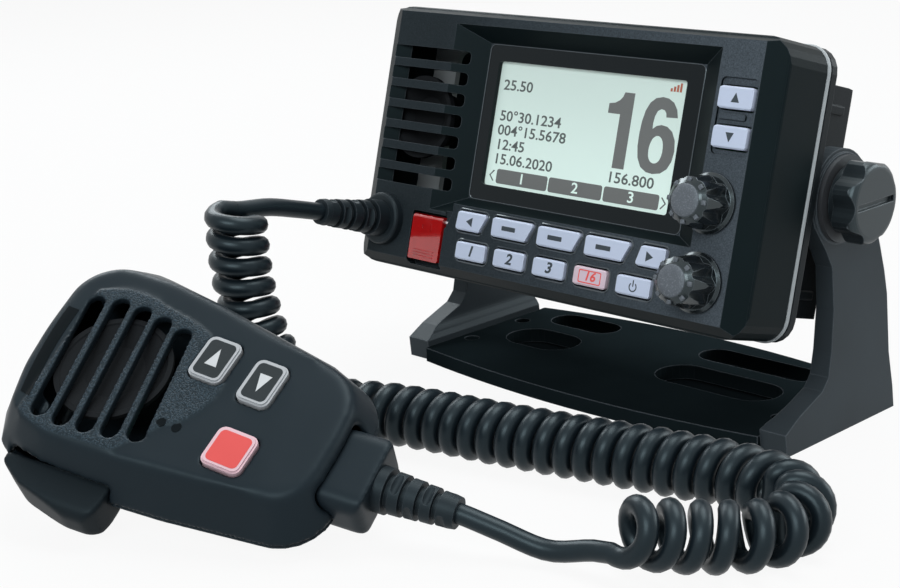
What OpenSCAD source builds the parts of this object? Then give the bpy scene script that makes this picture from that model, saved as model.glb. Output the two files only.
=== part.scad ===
// VHF marine radio on its tilting bracket, with a fist microphone on a curly cord.
// Millimetres, +Z up. The origin is the centre of the four base screws, on the underside of the bracket.

/* [Radio front] */
// Width of the front bezel
face_w = 167.3; // [164:0.1:180]
// Height of the front bezel
face_h = 91; // [89:0.5:100]
// Corner radius of the bezel
face_corner = 8; // [5:0.5:12]
// Depth of the bezel behind its face
bezel_depth = 24; // [22:0.5:30]
// Thickness of the front wall
front_wall = 3.5; // [3:0.1:3.9]
// Thickness of the bezel's side walls
bezel_wall = 2.5; // [2:0.1:3]
// Width of the sloping edge at the left and right of the face
roll_side = 6.6; // [4:0.1:8]
// Width of the sloping edge along the top of the face
roll_top = 2.1; // [1:0.1:4]
// Width of the sloping edge along the bottom of the face
roll_bottom = 3.8; // [2:0.1:5]
// Depth of the sloping edge
roll_deep = 4; // [3:0.1:6]

/* [Display] */
// Sideways place of the display window
window_x = 6.75; // [5:0.05:8]
// Height of the display window above the middle of the face
window_y = 8.95; // [8:0.05:9.5]
// Width of the display window
window_w = 90.5; // [86:0.5:91]
// Height of the display window
window_h = 52.9; // [48:0.1:53.5]
// Depth of the window below the face
window_deep = 7; // [6:0.1:7.5]
// Slope of the recess at the left side, in plan
slope_left = 11; // [9:0.1:11.5]
// Slope of the recess at the right side, in plan
slope_right = 9.8; // [7:0.1:10]
// Slope of the recess at the top, in elevation
slope_top = 5.1; // [3:0.1:5.5]
// Slope of the recess at the bottom, in elevation
slope_bottom = 2.5; // [1.5:0.1:2.8]
// Thickness of the lens
lens_t = 1.6; // [1:0.1:1.8]
// Width of the ledge that the lens sits on
lens_ledge = 2.5; // [1.5:0.1:3]

/* [Speaker grille] */
// Number of grille slots
slot_count = 7; // [3:1:7]
// Distance from slot to slot
slot_pitch = 7.25; // [6.5:0.05:7.4]
// Height of a slot
slot_h = 4.4; // [3:0.1:5]
// Height of the lowest slot above the middle of the face
slot_low_y = -14.2; // [-14.5:0.1:-13.5]
// Left end of the slots
slot_left = -78.3; // [-79:0.1:-77]
// Right end of the slots, in the slope of the display recess
slot_right = -44; // [-45:0.1:-43.5]
// Length of the ramp at the left end of a slot
slot_ramp = 5.5; // [3:0.1:7]
// Radius of the loudspeaker
speaker_r = 14.3; // [11:0.1:14.5]

/* [Keys] */
// How far the keys stand out of the face
key_proud = 1; // [0.6:0.1:1.6]
// Travel of the panel keys
key_travel = 0.8; // [0.4:0.05:0.9]
// Running clearance round a key
key_gap = 0.5; // [0.2:0.05:0.6]
// Height of the upper row of keys
row1_h = 6.5; // [5:0.1:6.6]
// Height of the lower row of keys
row2_h = 6; // [5:0.1:6.4]
// Width of a soft key along its lower edge
soft_w = 15.5; // [14:0.1:17]
// How far the right end of a soft key leans out at the top
soft_lean = 2.2; // [0:0.1:2.6]
// Wall from soft key to soft key, along their lower edges
soft_space = 4.75; // [4:0.05:6]
// Width of an arrow key at the end of the upper row
arrow_w = 11; // [9:0.1:12]
// Wall from a soft key to an arrow key, along their lower edges
arrow_space = 5.4; // [4:0.1:6]
// Width of a key in the lower row
row2_w = 13.3; // [11:0.1:14]
// Wall from key to key in the lower row
row2_space = 4.2; // [3:0.1:6]
// Width of the two channel keys beside the display
side_key_w = 12.4; // [11:0.1:12.8]
// Depth of the well round the two channel keys
side_well_deep = 1; // [0.4:0.1:1.5]
// Height of the two channel keys beside the display
side_key_h = 6.7; // [5:0.1:7]

/* [Rotary controls] */
// Largest radius of a rotary knob's lobes
dial_r = 8.1; // [7:0.1:9]
// Height of a rotary knob above the face
dial_top = 13; // [10:0.5:16]
// Radius of the skirt round a rotary knob
skirt_r = 9.3; // [8.8:0.1:9.6]
// Radius of a rotary control's shaft
dial_shaft_r = 3; // [2:0.1:3]
// Radius of the threaded bushing in the front wall
bushing_r = 4.2; // [3.8:0.1:4.5]

/* [Rear case] */
// Thickness of the gasket between bezel and rear case
gasket_t = 2.2; // [1:0.1:3]
// Thickness of the rear case's flange
flange_t = 2.8; // [2.4:0.1:3.2]
// How far the sides of the rear case are set in from the bezel's
case_inset = 10.65; // [10.4:0.05:11.2]
// Top of the rear case
case_top = 36; // [34:0.5:37]
// Bottom of the rear case
case_bottom = -38; // [-39:0.5:-37]
// Depth from the face to the back of the cooling fins
case_back = 66; // [62:0.5:72]
// Depth of the cooling fins
fin_deep = 4.5; // [3:0.1:6]
// Distance from fin to fin
fin_pitch = 8; // [7:0.5:10]
// Thickness of a fin
fin_t = 3; // [2:0.1:4]
// Wall of the rear case
case_wall = 3; // [2.5:0.1:3.5]
// Radius of the aerial socket's barrel
aerial_r = 7.94; // [7:0.01:8]
// Length of the aerial socket's barrel
aerial_l = 13; // [10:0.5:16]

/* [Tilting bracket] */
// Height of the tilt axis above the table
pivot_z = 76.8; // [76:0.1:90]
// Front to back place of the tilt axis
pivot_y = -2.2; // [-3:0.1:-1.5]
// Height of the tilt axis above the middle of the radio
pivot_up = 1.5; // [0:0.1:3]
// Distance of the tilt axis behind the radio's face
pivot_back = 45; // [44:0.5:47]
// How far the radio leans back at rest
tilt_rest = 15.5; // [12:0.5:18]
// Thickness of an arm at its foot
arm_foot_t = 10; // [9:0.5:12]
// Room from the rear case to the foot of an arm
foot_room = 1; // [0.5:0.1:2]
// Room from the rear case to the head of an arm
head_room = 3.5; // [3.4:0.1:4]
// Thickness of an arm over its boss
boss_t = 6.5; // [6:0.1:7.5]
// Radius of the round head of the arm
boss_r = 15.5; // [14.5:0.1:17]
// Thickness of the base plate
base_t = 5.2; // [4:0.1:7]
// Front to back distance of the base screws
base_screw_y = 28; // [24:1:32]
// Sideways distance of the base screws
base_screw_x = 138; // [136:1:140]
// Radius of the base screw holes
base_hole_r = 2.75; // [2:0.05:3]
// Width of the long windows in the base
window_slot = 19.6; // [14:0.1:20]
// Radius of the tilt knob's stud
stud_r = 3; // [2.5:0.1:3.5]
// Largest radius of the tilt knob
star_r = 13.2; // [12:0.1:16]
// Length of the tilt knob
star_l = 10.2; // [8:0.1:14]

/* [Fist microphone] */
// Turn of the microphone on the table
mic_turn = 21.5; // [20:0.5:23]
// Slope of the microphone down to its cord
mic_dip = 10.4; // [9:0.1:11]
// Lean of the microphone's face
mic_lean = 34.2; // [33:0.1:35]
// Wall of the microphone's shells
mic_wall = 2.5; // [2:0.1:3]
// Depth of the front shell
mic_front_deep = 13; // [12:0.5:14]
// Thickness of the seal between the shells
mic_seal_t = 0.6; // [0.4:0.1:1]
// Thickness of the microphone at its head
mic_head_t = 33; // [30:0.5:34]
// Thickness of the microphone at its cord end
mic_tail_t = 23.5; // [22:0.5:25]
// Width of a slot in the microphone's grille
mic_slot_w = 5.7; // [4:0.1:6]
// Distance from slot to slot in the microphone's grille
mic_slot_pitch = 7.9; // [7.5:0.1:8.1]
// Travel of the talk bar
talk_travel = 2; // [1:0.1:2.2]

/* [Cord] */
// Diameter of the cord
cord_d = 6; // [5:0.1:6]
// Diameter over the curls
curl_d = 20.4; // [18:0.1:20.4]
// Gap from curl to curl along the inner side
curl_gap = 0.55; // [0.5:0.01:0.8]
// Lean of the last curls towards the front, in degrees
curl_lean = 30; // [0:1:32]
// Share by which the curls are pressed in on the inner side of a tight bend
curl_press = 0.5; // [0.4:0.05:0.5]

/* [Hidden] */
$fn = 48;
eps = 0.01;                 // overcut of a hole past its wall
fit = 0.1;                  // clearance between pieces that are fixed to each other
running = 0.06;             // clearance round a turning shaft

// Colours, as the photograph shows them
black_plastic = [0.07, 0.08, 0.09];
grey_plastic = [0.62, 0.64, 0.66];
key_white = [0.78, 0.82, 0.90];
red_plastic = [0.75, 0.05, 0.04];
slate_rubber = [0.11, 0.13, 0.15];
board_green = [0.10, 0.32, 0.18];
steel = [0.66, 0.67, 0.69];
brass = [0.72, 0.58, 0.30];

case_half = face_w / 2 - case_inset;    // half the width of the rear case
arm_foot_inner = case_half + foot_room;
arm_outer = arm_foot_inner + arm_foot_t;
arm_inner = case_half + head_room;
boss_outer = arm_inner + boss_t;

// ---- outlines ----
// Points of an arc about c, from angle a0 to a1 in n steps
function arc(c, r, a0, a1, n = 6) =
  [for (i = [0 : n]) let (a = a0 + (a1 - a0) * i / n) [c.x + r * cos(a), c.y + r * sin(a)]];
// Rectangle from [x0, y0] to [x1, y1] with round corners
function round_rect(x0, y0, x1, y1, r, n = 5) = concat(
  arc([x1 - r, y1 - r], r, 0, 90, n), arc([x0 + r, y1 - r], r, 90, 180, n),
  arc([x0 + r, y0 + r], r, 180, 270, n), arc([x1 - r, y0 + r], r, 270, 360, n));
// Slot with round ends between the points p and q
function capsule(p, q, r, n = 8) =
  let (a = atan2(q.y - p.y, q.x - p.x))
  concat(arc(q, r, a - 90, a + 90, n), arc(p, r, a + 90, a + 270, n));
// A profile drawn in X and Z, extruded from y0 to y1
module along_y(y0, y1) {
  translate([0, y1, 0]) rotate([90, 0, 0]) linear_extrude(y1 - y0) children();
}
// A profile drawn in Y and Z, extruded from x0 to x1
module along_x(x0, x1) {
  translate([x0, 0, 0]) rotate([90, 0, 90]) linear_extrude(x1 - x0) children();
}
// A flat shape drawn in X and Y, extruded from z0 to z1
module slab(z0, z1) {
  translate([0, 0, z0]) linear_extrude(z1 - z0) children();
}
// A round bar or hole along X
module bar_x(r, x0, x1) {
  translate([x0, 0, 0]) rotate([0, 90, 0]) cylinder(r = r, h = x1 - x0);
}

// ---- the radio's own frame: X right, Y up the face, Z out of the face, 0 on the face ----
radio_y = pivot_y - pivot_up * sin(tilt_rest) - pivot_back * cos(tilt_rest);
radio_z = pivot_z - pivot_up * cos(tilt_rest) + pivot_back * sin(tilt_rest);
module on_radio() {
  translate([0, radio_y, radio_z]) rotate([90 - tilt_rest, 0, 0]) children();
}
function to_radio(p) = [p.x,
  radio_y + p.y * sin(tilt_rest) - p.z * cos(tilt_rest),
  radio_z + p.y * cos(tilt_rest) + p.z * sin(tilt_rest)];
module at_pivot() {
  translate([0, pivot_y, pivot_z]) children();
}

half_w = face_w / 2;
half_h = face_h / 2;
gasket_back = -bezel_depth - gasket_t;
flange_back = gasket_back - flange_t;
cavity_half_w = half_w - bezel_wall;
cavity_half_h = half_h - bezel_wall;
window_left = window_x - window_w / 2;
window_right = window_x + window_w / 2;
window_low = window_y - window_h / 2;
window_top = window_y + window_h / 2;
lens_seat = -window_deep - lens_t;
frame_back = lens_seat - 1.4;           // back of the block round the display
board_face = frame_back - 0.3;          // front of the key board
board_t = 1.6;
flange_face = -front_wall - 0.1;        // front of the keys' retaining flanges
stem_back = board_face + key_travel + 0.3;
frame_wall = 2;                         // wall left round the display recess
frame_left = window_left - slope_left * (window_deep - front_wall) / window_deep - 3;
frame_right = window_right + slope_right * (window_deep - front_wall) / window_deep + frame_wall;
frame_low = window_low - slope_bottom * (window_deep - front_wall) / window_deep - frame_wall + 0.3;

screw_x = half_w - 6.7;
screw_y = half_h - 6.5;
screw_r = 1.5;
screw_boss_r = 3.6;
module screw_places() {
  for (sx = [-1, 1], sy = [-1, 1]) translate([sx * screw_x, sy * screw_y, 0]) children();
}

speaker_x = -cavity_half_w + speaker_r + 3.4;
speaker_y = slot_low_y + slot_pitch * 3;

// Key places on the face
row1_y = -25.1;
row2_y = -35;
soft_pitch = soft_w + soft_space;
soft_x = 9.5;
arrow_reach = soft_pitch + (soft_w + arrow_w) / 2 + arrow_space;
row2_pitch = row2_w + row2_space;
row2_x = 8.5;
arrow_lean = 1.2;                       // left end of the right arrow key, inwards at the top
side_key_x = 69.9;
side_key_up_y = 25.9;
side_key_down_y = 14.15;
side_bar_y = (side_key_up_y + side_key_down_y) / 2 + 0.3;
channel_at = [66.5, -6];
volume_at = [66.3, -30];

// Distress switch under its hinged cover
pocket = [-57, -43.2, -41, -24.6];      // left, low, right, top
pocket_deep = 4.5;
cover_gap = 0.7;
pin_at = [pocket[3] - 2.4, -1.4];       // Y and Z of the hinge pin
pin_r = 0.8;
distress_at = [-49, -35];
distress_size = [7, 6];

gland_at = [-70.2, -29.6];
gland_r = 9;
gland_t = 3.5;
relief_tip = 31;                        // end of the radio's strain relief, out of the face

// ---- the microphone's own frame: X to its cord end, Y to its upper side, Z out of its face ----
mic_place = [-69, -201, 50];
module on_mic() {
  translate(mic_place) rotate([mic_lean, mic_dip, mic_turn]) children();
}
function turn_x(p, a) = [p.x, p.y * cos(a) - p.z * sin(a), p.y * sin(a) + p.z * cos(a)];
function turn_y(p, a) = [p.x * cos(a) + p.z * sin(a), p.y, -p.x * sin(a) + p.z * cos(a)];
function turn_z(p, a) = [p.x * cos(a) - p.y * sin(a), p.x * sin(a) + p.y * cos(a), p.z];
function mic_dir(p) = turn_z(turn_y(turn_x(p, mic_lean), mic_dip), mic_turn);
function to_mic(p) = mic_place + mic_dir(p);

// ==== tilting bracket ====
base_front = -31.4;
base_back = 29.8;
front_bow = 8.1;
back_bow = 11.2;
foot_h = 7.3;
// Edge of the base at x, bowed by so much at the middle
function bowed(x, edge, bow) = edge + bow * (1 - pow(x / arm_outer, 2));
base_outline = concat(
  [for (i = [-8 : 8]) let (x = arm_foot_inner * i / 8) [x, bowed(x, base_front, -front_bow)]],
  [for (i = [8 : -1 : -8]) let (x = arm_foot_inner * i / 8) [x, bowed(x, base_back, back_bow)]]);
// The long windows: left end, right end, middle, width
front_window_y = 1.2;
back_window_y = 25.3;
back_window_w = 13.4;
right_window = [8.6, 57.6];
left_window = [-62, -31.5];
module base_window(ends, y, w) {
  slab(-eps, base_t + eps) polygon(capsule([ends[0] + w / 2, y], [ends[1] - w / 2, y], w / 2, 12));
}
module bracket_base() {
  color(black_plastic) difference() {
    slab(0, base_t) polygon(base_outline);
    for (ends = [left_window, right_window]) {
      base_window(ends, front_window_y, window_slot);
      base_window(ends, back_window_y, back_window_w);
    }
    for (sx = [-1, 1], sy = [-1, 1])
      translate([sx * base_screw_x / 2, sy * base_screw_y / 2, -1]) cylinder(r = base_hole_r, h = base_t + 2);
  }
}

arm_top = pivot_z + boss_r;
arm_lean = 2;                           // how much the outer face leans in at the top
cove_r = 6;
// Side view of an arm: a broad foot, a waist, and a round head about the tilt axis
arm_side = concat(
  [[base_front, 0], [base_front - 0.8, foot_h], [-25, 11.3], [-18.5, 13.8], [-12, 16.3], [-8.6, 20],
   [-7, 28], [-5.7, 42], [-6.6, pivot_z - 21.4], [-10, pivot_z - 15.4]],
  arc([pivot_y, pivot_z], boss_r, 207, 8, 22),
  [[17, 68], [20.7, 57], [23.4, 48], [25.1, 40], [26.5, 19.8], [29, foot_h], [base_back, 0]]);
// Front view of the right arm: thick at the foot, with a cove inside, and leaning in
arm_front = concat(
  [[arm_foot_inner, 0], [arm_outer, 0], [arm_outer - arm_lean, arm_top + 1], [arm_inner, arm_top + 1]],
  arc([arm_inner - cove_r, foot_h + cove_r], cove_r, 0, -45, 5),
  [[arm_foot_inner, foot_h]]);
module bracket_arm() {
  difference() {
    union() {
      intersection() {
        along_x(arm_foot_inner - 1, arm_outer + 1) polygon(arm_side);
        along_y(base_front - 2, base_back + 2) polygon(arm_front);
      }
      at_pivot() bar_x(boss_r - 1.2, arm_inner + 0.5, boss_outer);
    }
    at_pivot() bar_x(stud_r + 0.25, arm_inner - 3, arm_outer + 1);
  }
}
module bracket_arm_right() {
  color(black_plastic) bracket_arm();
}
module bracket_arm_left() {
  color(black_plastic) mirror([1, 0, 0]) bracket_arm();
}

// Washers: one inside and one outside each arm
washer_t = 1.5;
module ring_x(r_out, r_in, x0, x1) {
  difference() {
    bar_x(r_out, x0, x1);
    bar_x(r_in, x0 - 1, x1 + 1);
  }
}
module both_sides() {
  children();
  mirror([1, 0, 0]) children();
}
module outer_washers() {
  color(grey_plastic) at_pivot() both_sides()
    ring_x(boss_r - 1.8, stud_r + 0.3, boss_outer, boss_outer + washer_t);
}
pad_face = case_half + 1.5;
module inner_washers() {
  color(grey_plastic) at_pivot() both_sides()
    ring_x(boss_r - 2.5, stud_r + 0.3, pad_face, arm_inner - 0.2);
}

// Tilt knob: a star grip on a short collar, with a coin slot in its face
star_lobes = 7;
star_face = boss_outer + washer_t + 0.3;
function lobed(n, r, deep, steps) =
  [for (i = [0 : n * steps - 1]) let (a = 360 * i / (n * steps), s = r - deep * (1 - cos(n * a)) / 2)
    [s * cos(a), s * sin(a)]];
module tilt_knob() {
  difference() {
    intersection() {
      union() {
        bar_x(star_r - 2.4, 0, star_l);
        translate([2.2, 0, 0]) rotate([90, 0, 90]) linear_extrude(star_l - 2.2)
          polygon(lobed(star_lobes, star_r, 1.9, 8));
      }
      rotate([0, 90, 0]) rotate_extrude()
        polygon(concat([[0, -1], [star_r + 1, -1], [star_r + 1, star_l - 3.4]],
          arc([star_r - 2.6, star_l - 2.4], 2.4, 0, 90, 5), [[0, star_l]]));
    }
    bar_x(stud_r + fit / 2, -1, star_l - 3);
    translate([star_l - 1.3, -star_r + 3.2, -1]) cube([3, 2 * star_r - 6.4, 2]);
  }
}
module knob_stud() {
  bar_x(stud_r, pad_face - 8.5, star_face + star_l - 3.3);
}
module tilt_knob_right() {
  color(black_plastic) at_pivot() translate([star_face, 0, 0]) tilt_knob();
}
module tilt_knob_left() {
  color(black_plastic) at_pivot() mirror([1, 0, 0]) translate([star_face, 0, 0]) tilt_knob();
}
module knob_stud_right() {
  color(steel) at_pivot() knob_stud();
}
module knob_stud_left() {
  color(steel) at_pivot() mirror([1, 0, 0]) knob_stud();
}
// Threaded inserts in the sides of the rear case
insert_r = 5;
insert_l = 10;
module pivot_inserts() {
  color(brass) at_pivot() both_sides()
    ring_x(insert_r, stud_r + running, pad_face - insert_l, pad_face - fit);
}

// ==== radio: front bezel ====
// Sloping edge from the outer wall at x to the face, on the plus side, with a small round at the wall
function rolled(x, roll) = [[x, -roll_deep - 0.9], [x - 0.12, -roll_deep - 0.35], [x - 0.4, -roll_deep + 0.1],
  [x - 0.9, -roll_deep + 0.45], [x - roll, 0]];
function flip(points) = [for (i = [len(points) - 1 : -1 : 0]) [-points[i].x, points[i].y]];
bezel_plan = concat([[-half_w, -bezel_depth], [half_w, -bezel_depth]],
  rolled(half_w, roll_side), flip(rolled(half_w, roll_side)));
bezel_side = concat([[-half_h, -bezel_depth], [half_h, -bezel_depth]],
  rolled(half_h, roll_top), flip(rolled(half_h, roll_bottom)));
module bezel_body() {
  intersection() {
    slab(-bezel_depth, 1) polygon(round_rect(-half_w, -half_h, half_w, half_h, face_corner));
    along_y(-half_h - 1, half_h + 1) polygon(bezel_plan);
    along_x(-half_w - 1, half_w + 1) polygon(bezel_side);
  }
}
corner_drop = 5.9;                      // slope of the recess at its lower left corner
// Display recess with four sloping, mitred sides
module display_recess() {
  overcut = 1 + 1 / window_deep;
  intersection() {
    along_y(window_low - 9, window_top + 9) polygon([[window_left, -window_deep], [window_right, -window_deep],
      [window_right + slope_right * overcut, 1], [window_left - slope_left * overcut, 1]]);
    along_x(window_left - 19, window_right + 19) polygon([[window_low, -window_deep], [window_top, -window_deep],
      [window_top + slope_top * overcut, 1], [window_low - slope_bottom * overcut, 1]]);
  }
  // the lower left corner runs further down, towards the distress switch
  intersection() {
    along_y(window_low - 9, window_low + 2) polygon([[window_left, -window_deep], [window_left + 9, -window_deep],
      [window_left + 9, 1], [window_left - slope_left * overcut, 1]]);
    along_x(window_left - 19, window_left + 0.3) polygon([[window_low, -window_deep], [window_low + 5, -window_deep],
      [window_low + 5, 1], [window_low - corner_drop * overcut, 1]]);
  }
  slab(lens_seat, -window_deep + eps)
    polygon(round_rect(window_left, window_low, window_right, window_top, 2.2));
  slab(frame_back - 1, -window_deep) polygon(round_rect(window_left + lens_ledge, window_low + lens_ledge,
    window_right - lens_ledge, window_top - lens_ledge, 1.5));
}
// One grille slot: a ramp at its left end, then straight through
module grille_slot(y) {
  intersection() {
    slab(frame_back - 1, 2) polygon(round_rect(slot_left, y - slot_h / 2, slot_right, y + slot_h / 2, 1.3, 3));
    along_y(y - slot_h, y + slot_h) polygon([[slot_left - 1, 2], [slot_left - 1, 0.4], [slot_left + slot_ramp,
      -front_wall], [slot_left + slot_ramp, frame_back - 2], [slot_right + 1, frame_back - 2], [slot_right + 1, 2]]);
  }
}
// Outline of a key, its ends leaning outwards by lean_l and lean_r at the top
function key_outline(w, h, lean_l, lean_r, grow, r) =
  let (a = w / 2 + grow, b = h / 2 + grow)
  concat(arc([a + lean_r - r, b - r], r, 0, 90, 3), arc([-a + lean_l + r, b - r], r, 90, 180, 3),
    arc([-a + r, -b + r], r, 180, 270, 3), arc([a - r, -b + r], r, 270, 360, 3));
key_corner = 1.1;
module key_hole(x, y, w, h, lean_l = 0, lean_r = 0) {
  translate([x, y, 0]) slab(-front_wall - 1, 2)
    polygon(key_outline(w, h, lean_l, lean_r, key_gap, key_corner + key_gap));
}
// A key: chamfered cap, stem and a flange that stops it behind the wall
key_chamfer = 0.5;
flange_t_key = 1.3;
module key_solid(w, h, lean_l = 0, lean_r = 0, top = 1, back = -9, wing = 1) {
  a = w / 2 + max(lean_l, lean_r) + 1;
  b = h / 2;
  intersection() {
    slab(flange_face - eps, top) polygon(key_outline(w, h, lean_l, lean_r, 0, key_corner));
    along_x(-a, a) polygon([[-b, -30], [b, -30], [b, top - key_chamfer], [b - key_chamfer, top],
      [-b + key_chamfer, top], [-b, top - key_chamfer]]);
  }
  slab(flange_face - flange_t_key, flange_face)
    polygon(round_rect(-w / 2 - wing, -b + 0.2, w / 2 + wing, b - 0.2, 0.6, 2));
  slab(back, flange_face - flange_t_key)
    polygon(round_rect(-1.8, -1.8, 1.8, 1.8, 0.8, 3));
}
module panel_holes() {
  key_hole(soft_x - arrow_reach, row1_y, arrow_w, row1_h, 0.3, soft_lean);
  for (i = [-1 : 1]) key_hole(soft_x + i * soft_pitch, row1_y, soft_w, row1_h, 0, soft_lean);
  key_hole(soft_x + arrow_reach, row1_y, arrow_w, row1_h, arrow_lean, 0);
  for (i = [-2 : 2]) key_hole(row2_x + i * row2_pitch - 0.05, row2_y, row2_w, row2_h);
  for (y = [side_key_up_y, side_key_down_y]) key_hole(side_key_x, y, side_key_w, side_key_h);
  for (p = [channel_at, volume_at]) translate([p.x, p.y, -10]) cylinder(r = bushing_r + fit, h = 20);
}
pocket_wall = 3;
module pocket_boss() {
  slab(-pocket_deep - pocket_wall, -front_wall + 1)
    polygon(round_rect(pocket[0] - 2, -cavity_half_h - 0.5, pocket[2] + 2, pocket[3] + 1.6, 1, 3));
}
module pocket_cut() {
  slab(-pocket_deep, 2) polygon(round_rect(pocket[0], pocket[1], pocket[2], pocket[3], 0.8, 3));
  slab(-20, 0) translate(distress_at) polygon(round_rect(-distress_size.x / 2 - key_gap,
    -distress_size.y / 2 - key_gap, distress_size.x / 2 + key_gap, distress_size.y / 2 + key_gap, 1, 3));
  translate([0, pin_at.x, pin_at.y]) bar_x(pin_r + 0.03, pocket[0] - 1.3, pocket[2] + 1.3);
}
// Pillars that carry the key board
pillars = [[-37.3, -30.3], [57, -36.6], [79.3, 20.5]];
module front_bezel() {
  color(black_plastic) on_radio() difference() {
    union() {
      difference() {
        bezel_body();
        difference() {
          slab(-bezel_depth - 1, -front_wall) polygon(round_rect(-cavity_half_w, -cavity_half_h,
            cavity_half_w, cavity_half_h, face_corner - bezel_wall));
          slab(frame_back, 0) polygon([[frame_left, frame_low], [frame_right, frame_low],
            [frame_right, cavity_half_h + 1], [frame_left, cavity_half_h + 1]]);
          slab(-window_deep, 0) polygon([[frame_left, frame_low - 2.4], [window_left + 1.5, frame_low - 2.4],
            [window_left + 1.5, frame_low + 1], [frame_left, frame_low + 1]]);
          screw_places() translate([0, 0, -bezel_depth - 2]) cylinder(r = screw_boss_r, h = bezel_depth + 2);
          for (p = pillars) translate([p.x, p.y, board_face]) cylinder(r = 1.6, h = 10, $fn = 24);
          pocket_boss();
        }
      }
    }
    display_recess();
    for (i = [0 : slot_count - 1]) grille_slot(slot_low_y + i * slot_pitch);
    panel_holes();
    pocket_cut();
    screw_places() translate([0, 0, -bezel_depth - 1]) cylinder(r = screw_r + fit, h = 13, $fn = 24);
    translate([gland_at.x, gland_at.y, -10]) cylinder(r = gland_r - 3 + fit, h = 20);
    // well round the two channel keys, with a bar left standing between them
    difference() {
      slab(-side_well_deep, 1) polygon(round_rect(side_key_x - side_key_w / 2 - key_gap,
        side_key_down_y - side_key_h / 2 - 2, side_key_x + side_key_w / 2 + key_gap,
        side_key_up_y + side_key_h / 2 + 2.7, 1.6, 4));
      slab(-side_well_deep - 1, -0.1) polygon(round_rect(side_key_x - side_key_w / 2 + 0.6, side_bar_y - 0.9,
        side_key_x + side_key_w / 2 - 2.4, side_bar_y + 0.9, 0.5, 2));
    }
    // notch beside the distress switch
    slab(-0.7, 1) polygon([[pocket[2] - 0.5, window_low - 5.7], [pocket[2] + 2.9, window_low - 5.5],
      [pocket[2] + 0.1, window_low - 12.3]]);
  }
}

// ==== radio: gasket, rear case and what is inside ====
module gasket() {
  color(grey_plastic) on_radio() difference() {
    slab(gasket_back, -bezel_depth)
      polygon(round_rect(-half_w + 0.7, -half_h + 0.7, half_w - 0.7, half_h - 0.7, face_corner - 0.7));
    slab(gasket_back - 1, 0) polygon(round_rect(-case_half + case_wall, case_bottom + case_wall,
      case_half - case_wall, case_top - case_wall, 4));
    screw_places() translate([0, 0, gasket_back - 1]) cylinder(r = screw_r + fit, h = gasket_t + 2, $fn = 24);
  }
}
fin_count = floor((2 * case_half - 20) / fin_pitch);
function comb(z0, deep) = [for (i = [0 : fin_count - 1]) let (x = (i - (fin_count - 1) / 2) * fin_pitch)
  each [[x + fin_t / 2, z0], [x + fin_t / 2, z0 - deep], [x - fin_t / 2, z0 - deep], [x - fin_t / 2, z0]]];
function reversed(points) = [for (i = [len(points) - 1 : -1 : 0]) points[i]];
back_wall = -case_back + fin_deep;
case_plan = concat([[-case_half, flange_back + 1], [-case_half, back_wall + 5], [-case_half + 3, back_wall]],
  [for (i = [0 : fin_count - 1]) let (x = (i - (fin_count - 1) / 2) * fin_pitch)
    each [[x - fin_t / 2, back_wall], [x - fin_t / 2 + 0.5, -case_back], [x + fin_t / 2 - 0.5, -case_back],
      [x + fin_t / 2, back_wall]]],
  [[case_half - 3, back_wall], [case_half, back_wall + 5], [case_half, flange_back + 1]]);
case_side = concat([[case_bottom, flange_back + 1], [case_top, flange_back + 1]],
  [[case_top, -case_back + 16]], arc([case_top - 12, -case_back + 12], 12, 0, -90, 7),
  arc([case_bottom + 4, -case_back + 4], 4, -90, -180, 4));
aerial_at = [40, -8];
power_at = [-40, -14];
module case_cavity() {
  intersection() {
    slab(back_wall + case_wall, 0) polygon(round_rect(-case_half + case_wall, case_bottom + case_wall,
      case_half - case_wall, case_top - case_wall, 4));
    along_x(-case_half, case_half) polygon([[case_bottom, 0], [case_top, 0], [case_top, -case_back + 20],
      [case_top - 10, back_wall + case_wall], [case_bottom, back_wall + case_wall]]);
  }
}
board_seat = back_wall + case_wall + 6;
board_half = pad_face - insert_l - 2.2;
board_posts = [[-60, -27], [60, -27], [-60, 16], [60, 16]];
module rear_case() {
  color(black_plastic) on_radio() difference() {
    union() {
      slab(flange_back, gasket_back)
        polygon(round_rect(-half_w - 0.3, -half_h - 0.1, half_w + 0.3, half_h + 0.1, face_corner));
      intersection() {
        along_y(case_bottom, case_top) polygon(case_plan);
        along_x(-case_half - 1, case_half + 1) polygon(case_side);
      }
      // steps along the sides, and the flat pads at the tilt axis
      for (y = [case_bottom + 6, case_top - 9]) slab(-case_back + 14, flange_back + 1)
        polygon(round_rect(-case_half - 1, y, case_half + 1, y + 3, 0.5, 2));
      translate([0, pivot_up, -pivot_back]) both_sides() bar_x(boss_r - 1.5, case_half - 2, pad_face);
      for (p = [aerial_at, power_at]) translate([p.x, p.y, -case_back]) cylinder(r = 14, h = fin_deep + 1);
    }
    difference() {
      case_cavity();
      translate([0, pivot_up, -pivot_back]) both_sides() bar_x(insert_r + 2.5, pad_face - insert_l - 1, case_half);
      for (p = board_posts) translate([p.x, p.y, back_wall]) cylinder(r = 3, h = case_wall + 6, $fn = 24);
    }
    translate([0, pivot_up, -pivot_back]) both_sides() bar_x(insert_r + running / 2, pad_face - insert_l, pad_face + 1);
    screw_places() translate([0, 0, flange_back - 1]) cylinder(r = screw_r + fit, h = flange_t + 2, $fn = 24);
    translate([aerial_at.x, aerial_at.y, -case_back - 1]) cylinder(r = 5 + fit / 2, h = fin_deep + case_wall + 2);
    translate([power_at.x, power_at.y, -case_back - 1]) cylinder(r = 5 + fit / 2, h = fin_deep + case_wall + 2);
  }
}
module case_screws() {
  color(steel) on_radio() screw_places() {
    translate([0, 0, flange_back - 2]) difference() {
      cylinder(r = 2.8, h = 2, $fn = 24);
      translate([0, 0, -eps]) cylinder(r = 1.3, h = 1.2, $fn = 6);
    }
    translate([0, 0, flange_back - eps]) cylinder(r = screw_r, h = flange_t + gasket_t + 10, $fn = 24);
  }
}
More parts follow.
